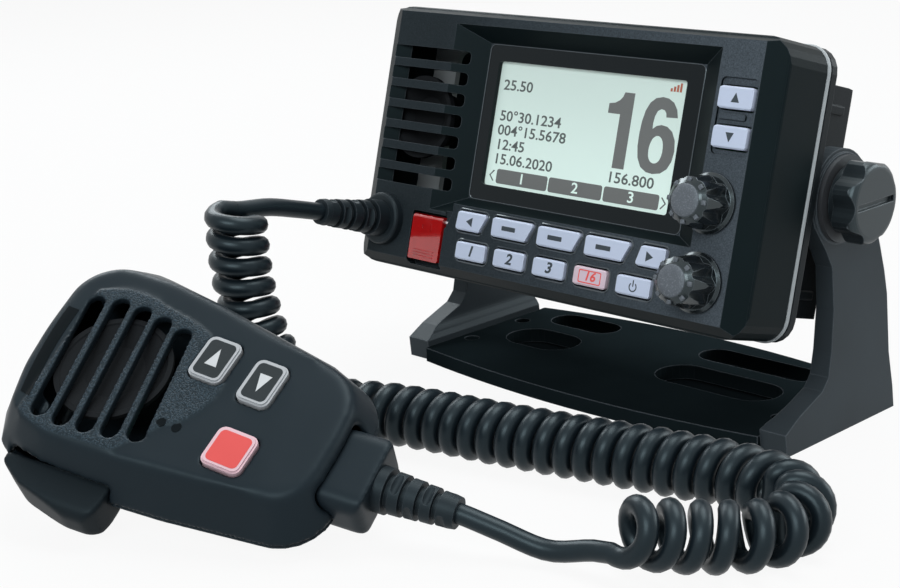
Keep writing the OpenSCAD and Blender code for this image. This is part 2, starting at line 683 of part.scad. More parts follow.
module lens() {
  color([0.03, 0.03, 0.035]) on_radio() slab(lens_seat, -window_deep)
    polygon(round_rect(window_left + fit, window_low + fit, window_right - fit, window_top - fit, 2.1));
}
module lcd_module() {
  color([0.80, 0.86, 0.80]) on_radio() {
    slab(frame_back - eps, lens_seat - 0.3) polygon(round_rect(window_left + lens_ledge + 0.3,
      window_low + lens_ledge + 0.3, window_right - lens_ledge - 0.3, window_top - lens_ledge - 0.3, 1.3));
    slab(frame_back - 4, frame_back)
      polygon(round_rect(window_left, window_low, window_right, window_top, 1));
  }
}
module main_board() {
  color(board_green) on_radio() {
    slab(board_seat, board_seat + board_t) polygon(round_rect(-board_half, case_bottom + 5, board_half, case_top - 14, 2, 2));
    slab(board_seat + board_t - eps, board_seat + 9) polygon(round_rect(-45, -25, 5, 12, 1, 2));
    slab(board_seat + board_t - eps, board_seat + 6) polygon(round_rect(15, -20, 45, 8, 1, 2));
  }
}
// Board behind the keys, with the two rotary controls soldered on it
control_half = 5.8;
module rotary_control(p) {
  translate([p.x, p.y, 0]) difference() {
    union() {
      slab(board_face - eps, flange_face) polygon(round_rect(-control_half, -control_half,
        control_half, control_half, 0.6, 2));
      slab(flange_face - eps, 1.6) circle(r = bushing_r);
    }
    slab(board_face - 3, 3) circle(r = dial_shaft_r + running);
  }
}
module key_board() {
  color(board_green) on_radio() {
    difference() {
      slab(board_face - board_t, board_face) polygon([[pocket[0] - 3, -cavity_half_h + 0.6],
        [cavity_half_w - 7, -cavity_half_h + 0.6], [cavity_half_w - 1, -cavity_half_h + 7], [cavity_half_w - 1, 33],
        [frame_right + 0.8, 33], [frame_right + 0.8, frame_low - 0.6], [pocket[0] - 3, frame_low - 0.6]]);
      screw_places() slab(board_face - 3, 0) circle(r = screw_boss_r + 0.5);
      for (p = [channel_at, volume_at]) translate([p.x, p.y, 0]) slab(board_face - 3, 0)
        circle(r = dial_shaft_r + running);
    }
    rotary_control(channel_at);
    rotary_control(volume_at);
  }
}
module speaker() {
  color([0.16, 0.16, 0.17]) on_radio() translate([speaker_x, speaker_y, 0]) rotate_extrude()
    polygon([[0, -front_wall - 4.2], [speaker_r - 7, -front_wall - 4.2], [speaker_r - 2, -front_wall - 0.9],
      [speaker_r - 1.6, -front_wall - 0.1], [speaker_r, -front_wall - 0.1], [speaker_r, -front_wall - 2.2],
      [speaker_r - 4.5, -front_wall - 8.5], [speaker_r - 5.3, -front_wall - 13], [0, -front_wall - 13]]);
}
module aerial_socket() {
  color(steel) on_radio() translate([aerial_at.x, aerial_at.y, 0]) difference() {
    union() {
      slab(-case_back - aerial_l, -case_back) circle(r = aerial_r);
      slab(-case_back - 2, -case_back) polygon(round_rect(-11, -11, 11, 11, 1.5, 3));
      slab(-case_back - eps, back_wall + case_wall + 3) circle(r = 5);
    }
    slab(-case_back - aerial_l - 1, -case_back - 4) circle(r = aerial_r - 1.6);
  }
}
module power_gland() {
  color([0.10, 0.10, 0.10]) on_radio() translate([power_at.x, power_at.y, 0]) rotate_extrude()
    polygon([[2.4, -case_back - 9], [4, -case_back - 9], [6, -case_back - 2.5], [7.5, -case_back - 2],
      [7.5, -case_back], [5, -case_back], [5, back_wall + case_wall + 2], [2.4, back_wall + case_wall + 2]]);
}

// ==== radio: knobs ====
dial_lobes = 8;
dial_base = 0.4;
module dial_knob() {
  difference() {
    union() {
      intersection() {
        slab(dial_base + 1, dial_top) polygon(lobed(dial_lobes, dial_r, 1.3, 8));
        rotate_extrude() polygon([[0, 0], [dial_r + 1, 0], [dial_r + 0.2, 3.5], [dial_r - 0.9, dial_top - 1.6],
          [dial_r - 2.3, dial_top - 0.5], [dial_r - 3, dial_top], [0, dial_top]]);
      }
      rotate_extrude() polygon([[0, dial_base], [skirt_r, dial_base], [skirt_r, dial_base + 0.8],
        [skirt_r - 0.9, dial_base + 1.5], [0, dial_base + 1.5]]);
    }
    slab(-1, dial_top - 2.4) circle(r = dial_shaft_r + 0.05);
    slab(-1, 2) circle(r = bushing_r + 0.4);
  }
}
module dial_shaft() {
  slab(board_face - 0.9, dial_top - 2.5) circle(r = dial_shaft_r);
}
module channel_knob() {
  color(black_plastic) on_radio() translate(channel_at) dial_knob();
}
module volume_knob() {
  color(black_plastic) on_radio() translate(volume_at) dial_knob();
}
module channel_shaft() {
  color(steel) on_radio() translate(channel_at) dial_shaft();
}
module volume_shaft() {
  color(steel) on_radio() translate(volume_at) dial_shaft();
}

// ==== radio: keys ====
module panel_key(x, y, w, h, lean_l = 0, lean_r = 0, tint = key_white) {
  color(tint) on_radio() translate([x, y, 0]) key_solid(w, h, lean_l, lean_r, key_proud, stem_back);
}
module row2_key(i, tint = key_white) {
  panel_key(row2_x + i * row2_pitch - 0.05, row2_y, row2_w, row2_h, 0, 0, tint);
}
module up_key() {
  panel_key(side_key_x, side_key_up_y, side_key_w, side_key_h);
}
module down_key() {
  panel_key(side_key_x, side_key_down_y, side_key_w, side_key_h);
}
module left_key() {
  panel_key(soft_x - arrow_reach, row1_y, arrow_w, row1_h, 0.3, soft_lean);
}
module soft_key_1() {
  panel_key(soft_x - soft_pitch, row1_y, soft_w, row1_h, 0, soft_lean);
}
module soft_key_2() {
  panel_key(soft_x, row1_y, soft_w, row1_h, 0, soft_lean);
}
module soft_key_3() {
  panel_key(soft_x + soft_pitch, row1_y, soft_w, row1_h, 0, soft_lean);
}
module right_key() {
  panel_key(soft_x + arrow_reach, row1_y, arrow_w, row1_h, arrow_lean, 0);
}
module menu_key_1() {
  row2_key(-2);
}
module menu_key_2() {
  row2_key(-1);
}
module menu_key_3() {
  row2_key(0);
}
module calling_key() {
  row2_key(1);
}
module power_key() {
  row2_key(2);
}

// ==== radio: distress switch ====
module distress_cover() {
  x0 = pocket[0] + cover_gap;
  x1 = pocket[2] - 1;
  low = pocket[1] + 2;
  color(red_plastic) on_radio() difference() {
    union() {
      slab(-2.2, 0.2) polygon(round_rect(x0, low, x1, pin_at.x + 0.4, 0.6, 3));
      translate([0, pin_at.x, pin_at.y]) bar_x(1.6, x0, x1);
    }
    slab(-3, -1) polygon(round_rect(x0 + 1.2, low + 1.2, x1 - 1.2, pin_at.x - 2.6, 0.4, 2));
    translate([0, pin_at.x, pin_at.y]) bar_x(pin_r + running, x0 - 1, x1 + 1);
  }
}
module cover_pin() {
  color(steel) on_radio() translate([0, pin_at.x, pin_at.y]) bar_x(pin_r, pocket[0] - 1.2, pocket[2] + 1.2);
}
module distress_button() {
  color(red_plastic) on_radio() translate(distress_at) {
    slab(-pocket_deep - pocket_wall - 0.1 - eps, -pocket_deep + 1)
      polygon(round_rect(-distress_size.x / 2, -distress_size.y / 2, distress_size.x / 2, distress_size.y / 2, 0.7, 3));
    slab(-pocket_deep - pocket_wall - 0.9, -pocket_deep - pocket_wall - 0.1)
      polygon(round_rect(-distress_size.x / 2 - 1, -distress_size.y / 2 - 1, distress_size.x / 2 + 1,
        distress_size.y / 2 + 1, 0.7, 3));
    slab(stem_back, -pocket_deep - pocket_wall - 0.9 + eps) polygon(round_rect(-1.8, -1.8, 1.8, 1.8, 0.8, 3));
  }
}

// ==== cord outlet on the face ====
module cord_gland() {
  color(slate_rubber) on_radio() translate([gland_at.x, gland_at.y, 0]) rotate_extrude()
    polygon([[0, 0], [gland_r, 0], [gland_r, gland_t - 1], [gland_r - 0.3, gland_t - 0.3], [gland_r - 1, gland_t],
      [0, gland_t]]);
}
// Strain relief along Z: collars with necks between them, pierced crosswise in turn
module segmented_relief(r0, r1, length, segments, first = 4) {
  step = (length - first - 2) / segments;
  difference() {
    rotate_extrude() polygon(concat([[0, 0], [r0 + 0.6, 0], [r0 + 0.6, first]],
      [for (i = [0 : segments - 1]) let (r = r0 + (r1 - r0) * i / segments, z = first + i * step)
        each [[r - 1.3, z], [r - 1.3, z + step * 0.34], [r, z + step * 0.34], [r - 0.1, z + step]]],
      [[r1 + 0.3, length - 2], [r1, length], [0, length]]));
    for (i = [0 : segments - 1]) let (r = r0 + (r1 - r0) * i / segments, z = first + (i + 0.66) * step)
      translate([0, 0, z]) rotate([0, 0, 90 * (i % 2)]) for (s = [-1, 1])
        translate([s * (r + 0.2), 0, 0]) rotate([90, 0, 0])
          translate([0, 0, -r * 0.55]) cylinder(r = step * 0.27, h = r * 1.1, $fn = 16);
  }
}
module radio_strain_relief() {
  color(slate_rubber) on_radio() translate([gland_at.x, gland_at.y, gland_t])
    segmented_relief(5.7, 4.3, relief_tip - gland_t, 4, 5);
}

// ==== fist microphone ====
// Widest outline, at the parting line
mic_wide = concat([[3, -27], [9, -31], [20, -33.6], [40, -34.6], [62, -34], [88, -31.6]],
  arc([92, -15.5], 16.2, -78, -4, 5), [[108.5, 0]], arc([91.5, 9], 16.6, 8, 68, 5),
  [[86, 29.4], [75, 31.6], [60, 34.4], [42, 39.4]], arc([17, 21], 22.6, 66, 166, 9), [[-4.6, 2], [-1, -18]]);
// Outline of the face
mic_face = concat([[6, -18.5], [12, -23.4], [21, -26.4], [41, -26.6], [72, -25], [88, -23.6]],
  arc([90.5, -12], 12, -70, -5, 4), [[103.2, 0]], arc([88, 7], 15, 8, 76, 5),
  [[80, 24], [66, 26.8], [49, 31.6], [32, 34.6]], arc([16.5, 21], 14, 88, 168, 5), [[2.2, 8], [3, -6]]);
mic_back_slope = atan((mic_head_t - mic_tail_t) / 100);
// Flat of the back, leaning so that the head is the thicker end
module mic_back_flat(inset, z) {
  translate([0, 0, -mic_head_t + z]) rotate([0, -mic_back_slope, 0])
    linear_extrude(0.05) offset(delta = -inset) polygon(mic_wide);
}
module mic_front_form(inset) {
  hull() {
    slab(-inset - 0.3, -inset) offset(delta = -inset * 0.6) polygon(mic_face);
    slab(-mic_front_deep - (inset > 0 ? 1 : 0), -mic_front_deep + 0.6) offset(delta = -inset) polygon(mic_wide);
  }
}
module mic_back_form(inset) {
  hull() {
    slab(-mic_front_deep - mic_seal_t - 0.6, -mic_front_deep - mic_seal_t + (inset > 0 ? 1 : 0))
      offset(delta = -inset) polygon(mic_wide);
    mic_back_flat(7 + inset * 0.7, inset);
  }
}
talk_outline = [[8.3, -30.2], [8.6, -33.6], [16.8, -38.7], [33.8, -43.2], [40.6, -43.2], [43.6, -40.4],
  [44.4, -36], [44.4, -30.2]];
talk_low = -22;
talk_high = -9.5;
talk_gap = 0.4;
block_low = -21;
block_high = -5;
block_start = 102;
// Room for the talk bar and for the cord block
module mic_side_cuts() {
  slab(talk_low - talk_gap, talk_high + talk_gap) polygon([[8.3 - talk_gap, -50], [44.4 + talk_gap, -50],
    [44.4 + talk_gap, -30.2 + talk_travel + talk_gap], [8.3 - talk_gap, -30.2 + talk_travel + talk_gap]]);
  slab(block_low - fit, block_high + fit)
    polygon(round_rect(block_start - fit, -17 - fit, block_start + 40, 9 + fit, 3, 4));
}
// Grille slots of the microphone: upper end and lower end of each
mic_slot_top = [22.6, 24, 23.5, 22, 20];
mic_slot_low = [-18.9, -19.8, -19.6, -18.8, -17.3];
module mic_slot(i) {
  r = mic_slot_w / 2;
  slab(-mic_wall - 3, 3) polygon(capsule([16.2 + i * mic_slot_pitch, mic_slot_low[i]],
    [12.1 + i * mic_slot_pitch, mic_slot_top[i] - r], r, 8));
}
mic_panel = concat(arc([23, 3], 25, 120, 66, 7), [[44, 23.4], [51, 20.8]], arc([45.5, 3.5], 18, 10, -62, 7),
  [[43, -25.2]], arc([25, 0], 26, -75, -125, 5));
mic_keys = [[57.6, 12.5, 11.3, 15, 0.35], [74.8, 9.5, 10.7, 15, 0.35], [76.5, -14, 13, 13.2, 0.35]];
mic_key_top = 1.4;
module mic_key_outline(k, grow) {
  translate([k[0], k[1]]) rotate(-4) polygon(round_rect(-k[2] / 2 - grow, -k[3] / 2 - grow,
    k[2] / 2 + grow, k[3] / 2 + grow, 2.4 + grow, 4));
}
mic_pillars = [[50, 27], [66.5, -4], [90, 1]];
mic_board_face = -9.4;
mic_screw_at = [[12, 26], [12, -16], [92, 18], [92, -20]];
module mic_front_shell() {
  color(slate_rubber) on_mic() difference() {
    union() {
      mic_front_form(0);
      slab(-1, 0.5) polygon(mic_panel);
    }
    difference() {
      mic_front_form(mic_wall);
      for (p = mic_pillars) translate([p.x, p.y, mic_board_face]) cylinder(r = 1.8, h = 12, $fn = 24);
      for (p = mic_screw_at) translate([p.x, p.y, -mic_front_deep - 2]) cylinder(r = 3, h = 15, $fn = 24);
    }
    for (i = [0 : 4]) mic_slot(i);
    for (k = mic_keys) slab(-8, 3) mic_key_outline(k, k[4]);
    for (p = [[53, -11.7], [57.9, -11.8]]) translate([p.x, p.y, -6]) cylinder(r = 0.9, h = 9, $fn = 16);
    for (p = mic_screw_at) translate([p.x, p.y, -mic_front_deep - 1]) cylinder(r = 1.2, h = 8, $fn = 16);
    mic_side_cuts();
  }
}
module mic_back_shell() {
  color(slate_rubber) on_mic() difference() {
    mic_back_form(0);
    difference() {
      mic_back_form(mic_wall);
      for (p = mic_screw_at) translate([p.x, p.y, -40]) cylinder(r = 3.4, h = 40, $fn = 24);
      translate([stud_at.x, stud_at.y, -40]) cylinder(r = 6, h = 16, $fn = 24);
    }
    for (p = mic_screw_at) {
      translate([p.x, p.y, -40]) cylinder(r = 1.4, h = 40, $fn = 16);
      translate([p.x, p.y, -40]) cylinder(r = 2.6, h = 40 - mic_front_deep - mic_seal_t - 3, $fn = 20);
    }
    translate([stud_at.x, stud_at.y, -40]) cylinder(r = 2.05, h = 18, $fn = 24);
    mic_side_cuts();
  }
}
module mic_seal() {
  color(black_plastic) on_mic() difference() {
    slab(-mic_front_deep - mic_seal_t, -mic_front_deep) difference() {
      offset(delta = -0.4) polygon(mic_wide);
      offset(delta = -mic_wall + 0.1) polygon(mic_wide);
    }
    mic_side_cuts();
  }
}
module mic_screws() {
  color(steel) on_mic() for (p = mic_screw_at) translate([p.x, p.y, 0]) {
    slab(-mic_front_deep - mic_seal_t - 3 - 1.8, -mic_front_deep - mic_seal_t - 3) circle(r = 2.4, $fn = 20);
    slab(-mic_front_deep - mic_seal_t - 3 - eps, -mic_front_deep + 5) circle(r = 1.1, $fn = 16);
  }
}
// Stud on the back, for hanging the microphone on its clip
stud_at = [45, -10];
stud_tip = -38.2;
stud_seat = -mic_head_t + stud_at.x * tan(mic_back_slope) + 0.9;
module hang_stud() {
  color(steel) on_mic() translate([stud_at.x, stud_at.y, 0]) rotate_extrude()
    polygon([[0, stud_tip], [6.6, stud_tip], [7.4, stud_tip + 0.8], [7.4, stud_tip + 1.8], [6, stud_tip + 2.6],
      [3.6, stud_tip + 2.8], [3.6, stud_seat - 1.1], [2, stud_seat - 1.1], [2, stud_seat + 4], [0, stud_seat + 4]]);
}
module mic_board() {
  color(board_green) on_mic() {
    slab(mic_board_face - 1.6, mic_board_face) difference() {
      polygon([[48, -22], [92, -19], [95, -8], [95, 12], [88, 20], [66, 24], [48, 29]]);
      for (p = mic_screw_at) translate(p) circle(r = 3.4);
    }
    translate([55.4, -11.7, 0]) slab(mic_board_face - eps, -mic_wall - 0.6) circle(r = 3);
  }
}
module mic_speaker() {
  color([0.16, 0.16, 0.17]) on_mic() translate([27.5, 2.5, 0]) rotate_extrude()
    polygon([[0, -mic_wall - 3], [9, -mic_wall - 3], [16, -mic_wall - 0.9], [16.4, -mic_wall - 0.5],
      [18, -mic_wall - 0.5], [18, -mic_wall - 2], [11, -mic_wall - 6], [10.5, -mic_wall - 9.5], [0, -mic_wall - 9.5]]);
}
module mic_key(k, tint) {
  color(tint) on_mic() {
    slab(-mic_wall - 0.8, mic_key_top - 0.5) mic_key_outline(k, 0);
    slab(mic_key_top - 0.5 - eps, mic_key_top) mic_key_outline(k, -0.6);
    slab(-mic_wall - 2, -mic_wall - 0.8 + eps) mic_key_outline(k, 0.9);
    slab(mic_board_face + 1.1, -mic_wall - 2 + eps) translate([k[0], k[1]]) circle(r = 2);
  }
}
module mic_up_key() {
  mic_key(mic_keys[0], grey_plastic);
}
module mic_down_key() {
  mic_key(mic_keys[1], grey_plastic);
}
module mic_red_key() {
  mic_key(mic_keys[2], red_plastic);
}
// Talk bar on the lower side, thicker towards the finger tip, with rounded long edges
module talk_bar() {
  mid = (talk_low + talk_high) / 2;
  half = (talk_high - talk_low) / 2;
  color(black_plastic) on_mic() intersection() {
    slab(talk_low, talk_high) polygon(talk_outline);
    along_x(0, 60) polygon(concat([[-28, mid - half], [-28, mid + half]],
      arc([-39.5, mid + half - 3.8], 3.8, 90, 180, 4), arc([-39.5, mid - half + 3.8], 3.8, 180, 270, 4)));
  }
}
module cord_block() {
  color(slate_rubber) on_mic() intersection() {
    slab(block_low, block_high) polygon(round_rect(block_start, -17, 116.5, 9, 3, 4));
    along_x(block_start - 1, 120) polygon(round_rect(-17, block_low, 9, block_high, 4, 4));
  }
}
mic_cord_axis = [-4, -13];
mic_relief_l = 24;
module mic_strain_relief() {
  color(slate_rubber) on_mic() translate([116.5, mic_cord_axis.x, mic_cord_axis.y]) rotate([0, 90, 0])
    segmented_relief(6.2, 4.6, mic_relief_l, 4, 3);
}

// ==== cord ====
// Points on a smooth curve through the route, s = 1 at the second point
function spline(P, s) =
  let (i = max(1, min(floor(s), len(P) - 3)), t = s - i, a = P[i - 1], b = P[i], c = P[i + 1], d = P[i + 2])
  0.5 * (2 * b + (c - a) * t + (2 * a - 5 * b + 4 * c - d) * t * t + (3 * b - a - 3 * c + d) * t * t * t);
function unit(v) = v / norm(v);
// Skin of a tube: one ring of sides points for each centre, ring 0 first
function tube_faces(rings, sides) = concat(
  [[for (k = [sides - 1 : -1 : 0]) k]],
  [for (i = [0 : rings - 2], k = [0 : sides - 1]) let (m = (k + 1) % sides)
    each [[i * sides + k, i * sides + m, (i + 1) * sides + m], [i * sides + k, (i + 1) * sides + m, (i + 1) * sides + k]]],
  [[for (k = [0 : sides - 1]) (rings - 1) * sides + k]]);
// Frames carried along a line of centres without twist
function carried(T, first) = [for (i = 0, n = first; i < len(T); i = i + 1,
  n = i < len(T) ? unit(n - (n * T[i]) * T[i]) : n) n];
module tube(C, T, r, sides) {
  N = carried(T, unit(cross(T[0], [0.1, 0.2, 1])));
  points = [for (i = [0 : len(C) - 1]) let (b = cross(T[i], N[i]))
    for (k = [0 : sides - 1]) C[i] + r * (cos(360 * k / sides) * N[i] + sin(360 * k / sides) * b)];
  polyhedron(points, tube_faces(len(C), sides), convexity = 10);
}
function tangents(C, t0, t1) = [for (i = [0 : len(C) - 1])
  i == 0 ? t0 : i == len(C) - 1 ? t1 : unit(C[i + 1] - C[i - 1])];

// Axis of the curls: down from the lead, along the table and round a bend at the right
curl_route = [[-63, -125, 90], [-63, -125, 76], [-62.5, -125, 60], [-60.5, -124, 44], [-57, -121, 29],
  [-50, -115.5, 16.5], [-38, -107.5, 10.6], [-22, -100.5, 10.2], [-4, -96, 10.2], [14, -92.5, 10.2],
  [32, -88.5, 10.2], [50, -84, 10.2], [68, -79.5, 10.2], [86, -75.5, 10.2], [100, -73.5, 10.2],
  [113, -75, 10.2], [123, -82.5, 10.2], [127, -94, 10.2], [123.5, -105.5, 10.2],
  [115.5, -115.5, 10.8], [107.5, -125.3, 12.6], [99.5, -135, 15], [91.5, -144.5, 17]];
curl_r = (curl_d - cord_d) / 2;
curl_end = len(curl_route) - 2;
lean_from = curl_end - 2.2;
lean_room = 5;
curl_rings = 8;
cord_sides = 6;
function axis_d(s) = (spline(curl_route, s + 0.02) - spline(curl_route, s - 0.02)) / 0.04;
function axis_dd(s) =
  (spline(curl_route, s + 0.05) - 2 * spline(curl_route, s) + spline(curl_route, s - 0.05)) / 0.0025;
function bend_r(s) = let (a = axis_d(s), k = norm(cross(a, axis_dd(s))) / pow(norm(a), 3))
  max(curl_r + 4, 1 / max(k, 0.0001));
function bend_near(s) = min(bend_r(s - 0.25), bend_r(s), bend_r(s + 0.25));
function eased(t) = t * t * (3 - 2 * t);
// From 0 on the straight stretches to the full press in the tightest bend
function press_at(s) = curl_press * eased(max(0, min(1, (30 - bend_near(s)) / 14)));
function inward(s) = let (a = unit(axis_d(s)), b = axis_dd(s), c = b - (b * a) * a) c / max(norm(c), 0.001);
function lean_part(s) = max(0, min(1, (s - lean_from) / (curl_end - lean_from)));
function lean_at(s) = curl_lean * eased(lean_part(s));
// The curls stand further apart in a bend, so that they clear each other on its inner side
function curl_pitch(s) = let (r = bend_near(s), t = lean_part(s))
  (cord_d + curl_gap + lean_room * t * (1 - t)) * r / (r - curl_r * (1 - press_at(s))) / cos(lean_at(s));
curl_s = [for (s = 1; s < curl_end; s = s + curl_pitch(s) / curl_rings / norm(axis_d(s))) s];
curl_T = [for (s = curl_s) unit(axis_d(s))];
curl_N = carried(curl_T, [-1, 0, 0]);
function curl_point(i) =
  let (T = curl_T[i], N = curl_N[i], a = 360 * i / curl_rings, w = cos(a) * N - sin(a) * cross(T, N),
    b = inward(curl_s[i]), c = max(0, w * b), v = w - press_at(curl_s[i]) * c * c * b,
    side = cross([0, 0, 1], T), h = side / max(norm(side), 0.001), L = lean_at(curl_s[i]))
  spline(curl_route, curl_s[i]) + curl_r * (v + (v * h) * ((cos(L) - 1) * h - sin(L) * T));
curl_all = [for (i = [0 : len(curl_s) - 1]) curl_point(i)];
// The last curl ends where it touches the table
last_low = min([for (i = [len(curl_all) - curl_rings : len(curl_all) - 1]) curl_all[i].z]);
curl_last = [for (i = [len(curl_all) - curl_rings : len(curl_all) - 1]) if (curl_all[i].z == last_low) i][0];
curl_line = [for (i = [0 : curl_last]) curl_all[i]];
curl_in = unit([0, -cos(tilt_rest), 0.25]);
curl_out = unit([-0.99, -0.06, -0.14]);
curl_C = concat([curl_line[0] - cord_d * curl_in], curl_line, [curl_line[curl_last] + cord_d * curl_out]);
curl_Tan = tangents(curl_C, curl_in, curl_out);
// Least gap between neighbouring curls, measured on the line of centres
curl_clear = min([for (i = [0 : curl_last - curl_rings - 2], j = [curl_rings - 2 : curl_rings + 2])
  if (i + j < curl_last) let (a = curl_line[i], b = curl_line[i + j], c = curl_line[i + j + 1], d = c - b,
    t = max(0, min(1, (a - b) * d / (d * d)))) norm(a - b - t * d)]) - cord_d;
echo(curls = curl_last / curl_rings, least_gap = curl_clear);
module curly_cord() {
  color(slate_rubber) tube(curl_C, curl_Tan, cord_d / 2, cord_sides);
}
// Smooth line of n steps through a route whose first and last points only steer it
function along(P, n) = [for (i = [0 : n]) spline(P, 1 + (len(P) - 3) * i / n)];
lead_start = to_radio([gland_at.x, gland_at.y, relief_tip]);
lead_dir = [0, -cos(tilt_rest), sin(tilt_rest)];
lead_route = [lead_start - 20 * lead_dir, lead_start, [-70.2, -94, 70], [-70.2, -106, 73],
  curl_C[0], curl_C[0] + 12 * curl_in];
lead_C = along(lead_route, 5);
module cord_lead() {
  color(slate_rubber) tube(lead_C, tangents(lead_C, lead_dir, curl_in), cord_d / 2, 10);
}
tail_start = to_mic([116.5 + mic_relief_l, mic_cord_axis.x, mic_cord_axis.y]);
tail_dir = mic_dir([1, 0, 0]);
curl_exit = curl_C[len(curl_C) - 1];
tail_route = [tail_start - 12 * tail_dir, tail_start, [66.5, -143, 8.4], [79.5, -137.5, 4.2],
  curl_exit, curl_exit - 12 * curl_out];
tail_C = along(tail_route, 6);
module cord_tail() {
  color(slate_rubber) tube(tail_C, tangents(tail_C, tail_dir, -curl_out), cord_d / 2, 10);
}

bracket_base();
bracket_arm_left();
bracket_arm_right();
outer_washers();
tilt_knob_left();
knob_stud_left();
tilt_knob_right();
knob_stud_right();
front_bezel();
gasket();
rear_case();
case_screws();
lens();
lcd_module();
main_board();
key_board();
speaker();
pivot_inserts();
inner_washers();
aerial_socket();
power_gland();
channel_knob();
channel_shaft();
volume_knob();
volume_shaft();
up_key();
down_key();
left_key();
soft_key_1();
soft_key_2();
soft_key_3();
right_key();
menu_key_1();
menu_key_2();
menu_key_3();
calling_key();
power_key();
distress_cover();
cover_pin();
distress_button();
cord_gland();
radio_strain_relief();
mic_front_shell();
mic_back_shell();
mic_seal();
mic_board();
mic_speaker();
mic_screws();
hang_stud();
cord_block();
mic_strain_relief();
talk_bar();
mic_up_key();
mic_down_key();
mic_red_key();
cord_lead();
curly_cord();
cord_tail();
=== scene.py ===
import math

import bmesh
import bpy
from mathutils import Matrix, Vector
from mathutils.bvhtree import BVHTree


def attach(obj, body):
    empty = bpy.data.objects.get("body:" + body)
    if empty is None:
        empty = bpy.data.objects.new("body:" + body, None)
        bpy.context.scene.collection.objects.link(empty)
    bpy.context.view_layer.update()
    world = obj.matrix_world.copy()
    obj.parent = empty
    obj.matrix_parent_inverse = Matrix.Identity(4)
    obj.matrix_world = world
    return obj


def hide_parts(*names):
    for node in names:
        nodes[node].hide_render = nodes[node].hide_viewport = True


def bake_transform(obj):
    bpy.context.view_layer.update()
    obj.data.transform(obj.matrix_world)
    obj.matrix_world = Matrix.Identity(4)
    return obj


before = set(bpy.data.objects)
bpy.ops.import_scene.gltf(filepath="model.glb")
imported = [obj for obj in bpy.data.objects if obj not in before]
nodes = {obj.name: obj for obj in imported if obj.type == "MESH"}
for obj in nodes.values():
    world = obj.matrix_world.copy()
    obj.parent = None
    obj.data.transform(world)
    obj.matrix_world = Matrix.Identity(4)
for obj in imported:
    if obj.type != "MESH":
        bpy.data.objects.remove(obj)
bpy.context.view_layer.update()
mm = 0.001
print("frame loaded:", len(nodes), "nodes")

# places: the radio's own frame and the microphone's, in millimetres, as in the CAD
tiltRest = math.radians(15.5)
pivot, pivotUp, pivotBack = (0, -2.2, 76.8), 1.5, 45
radioY = pivot[1] - pivotUp * math.sin(tiltRest) - pivotBack * math.cos(tiltRest)
radioZ = pivot[2] - pivotUp * math.cos(tiltRest) + pivotBack * math.sin(tiltRest)
radioPlace = Matrix.Translation((0, radioY, radioZ)) @ Matrix.Rotation(math.radians(90) - tiltRest, 4, "X")
micAt, micTurn, micDip, micLean = (-69, -201, 50), 21.5, 10.4, 34.2
micPlace = Matrix.Translation(micAt)
for degrees, axis in ((micTurn, "Z"), (micDip, "Y"), (micLean, "X")):
    micPlace = micPlace @ Matrix.Rotation(math.radians(degrees), 4, axis)
worldPlace = Matrix.Identity(4)


def onRadio(x, y, z):
    return (radioPlace @ Vector((x, y, z))) * mm


def onMic(x, y, z):
    return (micPlace @ Vector((x, y, z))) * mm


def addObject(name, data):
    piece = bpy.data.objects.new(name, data)
    bpy.context.scene.collection.objects.link(piece)
    return piece


# camera, as the photograph was taken
cameraLook = {"place": (380.6, -466.7, 204.6), "ahead": (-0.6857, 0.6742, -0.2744),
              "up": (-0.1672, 0.2210, 0.9608), "lens": 71.37, "sensor": 36, "near": 0.01}


def makeCamera(settings):
    data = bpy.data.cameras.new("photoCamera")
    data.lens = settings["lens"]
    data.sensor_width = settings["sensor"]
    data.clip_start = settings["near"]
    ahead = Vector(settings["ahead"]).normalized()
    right = ahead.cross(Vector(settings["up"])).normalized()
    turn = Matrix((right, right.cross(ahead), -ahead)).transposed().to_4x4()
    camera = addObject("photoCamera", data)
    camera.matrix_world = Matrix.Translation(Vector(settings["place"]) * mm) @ turn
    bpy.context.scene.camera = camera


makeCamera(cameraLook)


# makers of meshes
def smoothFaces(mesh, degrees):
    mesh.polygons.foreach_set("use_smooth", [True] * len(mesh.polygons))
    mesh.set_sharp_from_angle(angle=math.radians(degrees))


def meshPiece(name, verts, faces, place, edges=(), smooth=35):
    mesh = bpy.data.meshes.new(name)
    mesh.from_pydata([(place @ Vector(v)) * mm for v in verts], list(edges), faces)
    mesh.update()
    if faces:
        smoothFaces(mesh, smooth)
    return addObject(name, mesh)


def takeMesh(piece):
    # the mesh that a piece evaluates to; the piece itself goes
    graph = bpy.context.evaluated_depsgraph_get()
    graph.update()
    mesh = bpy.data.meshes.new_from_object(piece.evaluated_get(graph), preserve_all_data_layers=True,
                                           depsgraph=graph)
    bpy.data.objects.remove(piece)
    return mesh


def applyModifiers(piece, smooth=35):
    name, materials = piece.name, list(piece.data.materials)
    mesh = takeMesh(piece)
    if not mesh.materials:
        for material in materials:
            mesh.materials.append(material)
    smoothFaces(mesh, smooth)
    return addObject(name, mesh)


def finishPiece(piece, body, look=None, replaced=()):
    if look:
        piece.data.materials.clear()
        piece.data.materials.append(look)
    if replaced:
        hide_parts(*replaced)
    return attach(piece, body)


def flatMesh(loops, z0, z1, place=radioPlace):
    # outlines, the holes among them, filled and given a thickness
    curve = bpy.data.curves.new("flat", "CURVE")
    curve.dimensions = "2D"
    curve.fill_mode = "BOTH"
    curve.extrude = (z1 - z0) / 2
    for loop in loops:
        spline = curve.splines.new("POLY")
        spline.points.add(len(loop) - 1)
        for point, (x, y) in zip(spline.points, loop):
            point.co = (x, y, 0, 1)
        spline.use_cyclic_u = True
    mesh = takeMesh(addObject("flat", curve))
    mesh.transform(Matrix.Scale(mm, 4) @ place @ Matrix.Translation((0, 0, (z0 + z1) / 2)))
    return mesh


